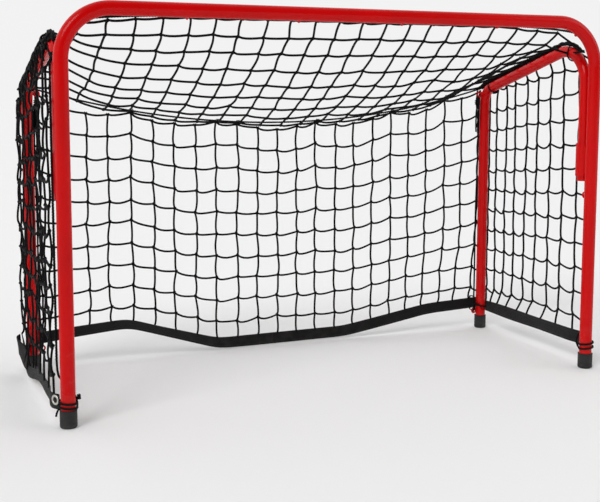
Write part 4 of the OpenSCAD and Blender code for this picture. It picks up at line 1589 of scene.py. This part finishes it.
@dataclass
class WebbingHem:
    """The webbing along the foot of the net: behind the goal and along both sides."""

    finishes: Finishes
    net: GoalNet
    width: float = 21.5
    thickness: float = 2.0
    step: float = 9.0
    front_turn: tuple[tuple[float, float], ...] = (
        (5.0, -4.0), (9.0, -1.8), (12.5, 0.5), (17.0, 2.6), (22.0, 4.0),
        (30.0, 4.8), (42.0, 3.4), (58.0, 1.0), (70.0, 0.0),
    )  # fmt: skip
    folds: tuple[tuple[tuple[float, float, float], ...], ...] = (
        (
            (480.5, 290.0, 26.0), (482.5, 312.0, 33.0), (486.0, 332.0, 39.0),
            (487.0, 345.0, 44.0), (483.0, 357.0, 48.0),
        ),
        (
            (481.5, 298.0, 37.0), (484.5, 316.0, 44.0), (488.0, 333.0, 49.0),
            (487.5, 346.0, 52.0), (482.0, 358.0, 53.0),
        ),
    )  # fmt: skip
    eyelet_turn: float = 30.0
    eyelet_ring_r: float = 6.1
    eyelet_lip_r: float = 1.85
    back_lean: tuple[tuple[float, float], ...] = (
        (-471.0, 0.3), (-420.0, 0.8), (-330.0, 1.15), (-230.0, 1.2), (-120.0, 0.7), (0.0, 0.3), (471.0, 0.1),
    )  # fmt: skip

    def back(self) -> None:
        """Webbing behind the goal in two halves that meet in the middle."""
        for side in Side:
            s = side.value
            count = round((L.post_x + 10) / self.step)
            path, across = [], []
            for k in range(count + 1):
                x = s * (L.post_x + 10) * k / count
                y = self.net.back_y - 0.6 + 0.9 * math.sin(x * 0.021) * math.sin(x * 0.0067)
                path.append(L.at(x, y, max(eased(x, self.net.back_band), self.width / 2 + 1.0)))
                across.append(Vector((0, lookup(x, self.back_lean), 1)))
            if s < 0:
                path.reverse()
                across.reverse()
            ribbon = Ribbon(self.width * MM, self.thickness * MM)
            ribbon.sweep(path, across)
            piece = ribbon.build(f"back_webbing_{side.word}", self.finishes.webbing, "black_webbing")
            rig.replaces(piece, "back_band")
            start = L.at(0, self.net.back_y, 20)
            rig.blend(piece, FRONT_BODY, side.body, start, Vector((s * L.post_x * MM, start.y, start.z)))

    def sides(self) -> None:
        """Webbing along each side, outside the frame, with the eyelet at its front end."""
        for side in Side:
            s = side.value
            band = HANGS[side].band
            low, high = (Vector(c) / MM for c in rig.box(f"{side.word}_eyelet"))
            plane = (abs(low.x) + abs(high.x)) / 2
            path, across = [], []
            for k in range(57):
                y = 5.0 + (L.leg_y + 9 - 5.0) * (k / 56) ** 1.15
                far = max(0.0, (y - 30) / 330)
                wave = (1.6 if side.loose else 0.7) * far * math.sin(y * 0.045)
                x = plane + max(0.0, wave) + lookup(y, self.front_turn)
                path.append(L.at(s * x, y, eased(y, band) if y > 24 else lookup(y, band)))
                across.append(Vector((0.22 * far * math.sin(y * 0.03), 0, 1)))
            self.eyelet(side)
            ribbon = Ribbon((self.width + 2) * MM, (self.thickness - 0.1) * MM)
            ribbon.sweep(path, across)
            if side.loose:
                for fold in self.folds:
                    line = smooth_path([L.at(s * x, y, z) for x, y, z in fold], 3 * MM)
                    lean = [Vector((0.14 * math.sin(0.3 * k), 0.1, 1)) for k in range(len(line))]
                    ribbon.sweep(line, lean)
            piece = ribbon.build(f"{side.word}_webbing", self.finishes.webbing, "black_webbing")
            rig.replaces(piece, f"{side.word}_band")
            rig.ride(piece, side.body)

    def eyelet(self, side: Side) -> None:
        """Rolled metal eyelet in the front end of a side's webbing: an outer lip and an inner washer."""
        node = f"{side.word}_eyelet"
        centre = middle(node)
        rings = []
        for off, flat in ((0.9, 0.62), (-0.9, 0.5)):
            deselect()
            bpy.ops.mesh.primitive_torus_add(
                major_segments=48, minor_segments=14,
                major_radius=self.eyelet_ring_r * MM, minor_radius=self.eyelet_lip_r * MM,
                location=centre, rotation=(0, side.value * math.pi / 2, 0),
            )  # fmt: skip
            ring = new_primitive()
            bpy.ops.object.mode_set(mode="EDIT")
            bpy.ops.mesh.select_all(action="SELECT")
            bpy.ops.transform.resize(value=(flat, 1, 1), center_override=centre)
            bpy.ops.transform.translate(value=(side.value * off * MM, 0, 0))
            bpy.ops.object.mode_set(mode="OBJECT")
            rings.append(ring)
        deselect()
        for ring in rings:
            ring.select_set(True)
        bpy.context.view_layer.objects.active = rings[0]
        bpy.ops.object.join()
        piece = rings[0]
        settle(piece, f"{side.word}_band_eyelet", self.finishes.nickel, "eyelet_metal", 60)
        turn = Matrix.Rotation(math.radians(-side.value * self.eyelet_turn), 4, "Z")
        piece.data.transform(Matrix.Translation(centre) @ turn @ Matrix.Translation(-centre))
        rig.replaces(piece, node)
        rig.ride(piece, side.body)
        log.info("%s: eyelet", piece.name)

    def build(self) -> None:
        """Makes all the webbing."""
        self.back()
        self.sides()
        log.info("webbing made")


# ---------------------------------------------------------------- studio


@dataclass(frozen=True)
class Viewpoint:
    """Camera: its place beside, behind and above the goal line's middle, its turn and its lens."""

    place: tuple[float, float, float] = (-717.6, -1521.0, 491.2)
    yaw: float = 22.095
    pitch: float = 6.472
    roll: float = 0.111
    focal_px: float = 1053.07
    centre_px: tuple[float, float] = (296.2, 211.6)
    image: tuple[int, int] = (600, 502)
    sensor: float = 36.0

    def build(self) -> None:
        """Adds the camera and makes it the scene's."""
        yaw, pitch, roll = (math.radians(a) for a in (self.yaw, self.pitch, self.roll))
        ahead = Vector((math.sin(yaw) * math.cos(pitch), math.cos(yaw) * math.cos(pitch), -math.sin(pitch)))
        right = Vector((math.cos(yaw), -math.sin(yaw), 0))
        up = right.cross(ahead)
        x = math.cos(roll) * right + math.sin(roll) * up
        y = -math.sin(roll) * right + math.cos(roll) * up
        camera = bpy.data.objects.new("view", bpy.data.cameras.new("view"))
        camera.data.sensor_width = self.sensor
        camera.data.lens = self.focal_px * self.sensor / self.image[0]
        camera.data.shift_x = (self.image[0] / 2 - self.centre_px[0]) / self.image[0]
        camera.data.shift_y = (self.centre_px[1] - self.image[1] / 2) / self.image[0]
        camera.data.clip_start, camera.data.clip_end = 0.05, 40
        turn = Matrix((x, y, -ahead)).transposed().to_4x4()
        camera.matrix_world = Matrix.Translation(L.at(*self.place)) @ turn
        bpy.context.scene.collection.objects.link(camera)
        bpy.context.scene.camera = camera


@dataclass
class Studio:
    """Pale floor, pale surroundings and two soft lights."""

    floor_size: float = 60.0
    floor_colour: tuple[float, float, float] = (0.92, 0.92, 0.92)
    backdrop: tuple[float, float, float] = (0.89, 0.89, 0.89)

    def build(self) -> None:
        """Adds the floor, the world and the lights."""
        deselect()
        bpy.ops.mesh.primitive_plane_add(size=self.floor_size, location=(0, 0, 0))
        floor = new_primitive()
        floor.name = "floor"
        material = bpy.data.materials.new("pale_floor")
        material.use_nodes = True
        shader = material.node_tree.nodes["Principled BSDF"]
        shader.inputs["Base Color"].default_value = (*self.floor_colour, 1)
        shader.inputs["Roughness"].default_value = 0.9
        shader.inputs["Specular IOR Level"].default_value = 0.1
        floor.data.materials.append(material)
        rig.stage(floor)
        self.surroundings()
        self.lamp("key", (-2.4, -2.0, 3.0), 28, 1.25)
        self.lamp("fill", (2.8, -1.6, 1.6), 40, 0.45)
        bpy.context.scene.view_settings.view_transform = "Standard"
        deselect()

    def surroundings(self) -> None:
        """Pale backdrop for the camera, and surroundings brighter behind and beside than in front."""
        world = bpy.data.worlds.new("studio")
        world.use_nodes = True
        tree = world.node_tree
        coords = tree.nodes.new("ShaderNodeTexCoord")
        split = tree.nodes.new("ShaderNodeSeparateXYZ")
        tree.links.new(coords.outputs["Generated"], split.inputs[0])
        back = ramp_value(tree, split.outputs["Y"], -0.55, 0.35)
        aside = ramp_value(tree, math_node(tree, "ABSOLUTE", split.outputs["X"]), 0.45, 0.95)
        glow = math_node(tree, "MAXIMUM", back, aside)
        around = mixed(tree, glow, (0.16, 0.16, 0.16), (0.95, 0.95, 0.95))
        seen = tree.nodes.new("ShaderNodeLightPath")
        colour = mixed(tree, seen.outputs["Is Camera Ray"], around, self.backdrop)
        tree.links.new(colour, tree.nodes["Background"].inputs["Color"])
        bpy.context.scene.world = world

    def lamp(self, name: str, place: tuple[float, float, float], angle: float, power: float) -> None:
        """Adds a wide distant light that shines from a place towards the goal.

        Args:
            name: Name of the light.
            place: Where it shines from, in metres.
            angle: Its spread in degrees, which softens the shadows.
            power: Its strength.
        """
        light = bpy.data.lights.new(name, "SUN")
        light.angle, light.energy = math.radians(angle), power
        lamp = bpy.data.objects.new(name, light)
        lamp.rotation_euler = (Vector((0, 0, 0.3)) - Vector(place)).to_track_quat("-Z", "Y").to_euler()
        bpy.context.scene.collection.objects.link(lamp)


def main() -> None:
    """Builds the camera, the studio and every piece, and writes the boxes before and after."""
    logging.basicConfig(level=logging.INFO, format="%(name)s: %(message)s")
    cad_box = [[round(c, 5) for c in corner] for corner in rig.bounds()]
    Viewpoint().build()
    Studio().build()
    finishes = Finishes()
    Metalwork(finishes).dress()
    for side in Side:
        RubberFoot(f"front_{side.word}_foot", FRONT_BODY, L.post_r).build(finishes)
        RubberFoot(f"rear_{side.word}_foot", side.body, L.side_r).build(finishes)
    net = GoalNet(finishes)
    net.build()
    Cordage(finishes, net).build()
    WebbingHem(finishes, net).build()
    seen_box = [[round(c, 5) for c in corner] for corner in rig.bounds()]
    Path("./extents.json").write_text(json.dumps({"cad": cad_box, "visual": seen_box}))
    log.info("box of the model %s, of the pieces %s", cad_box, seen_box)


if __name__ == "__main__":
    main()
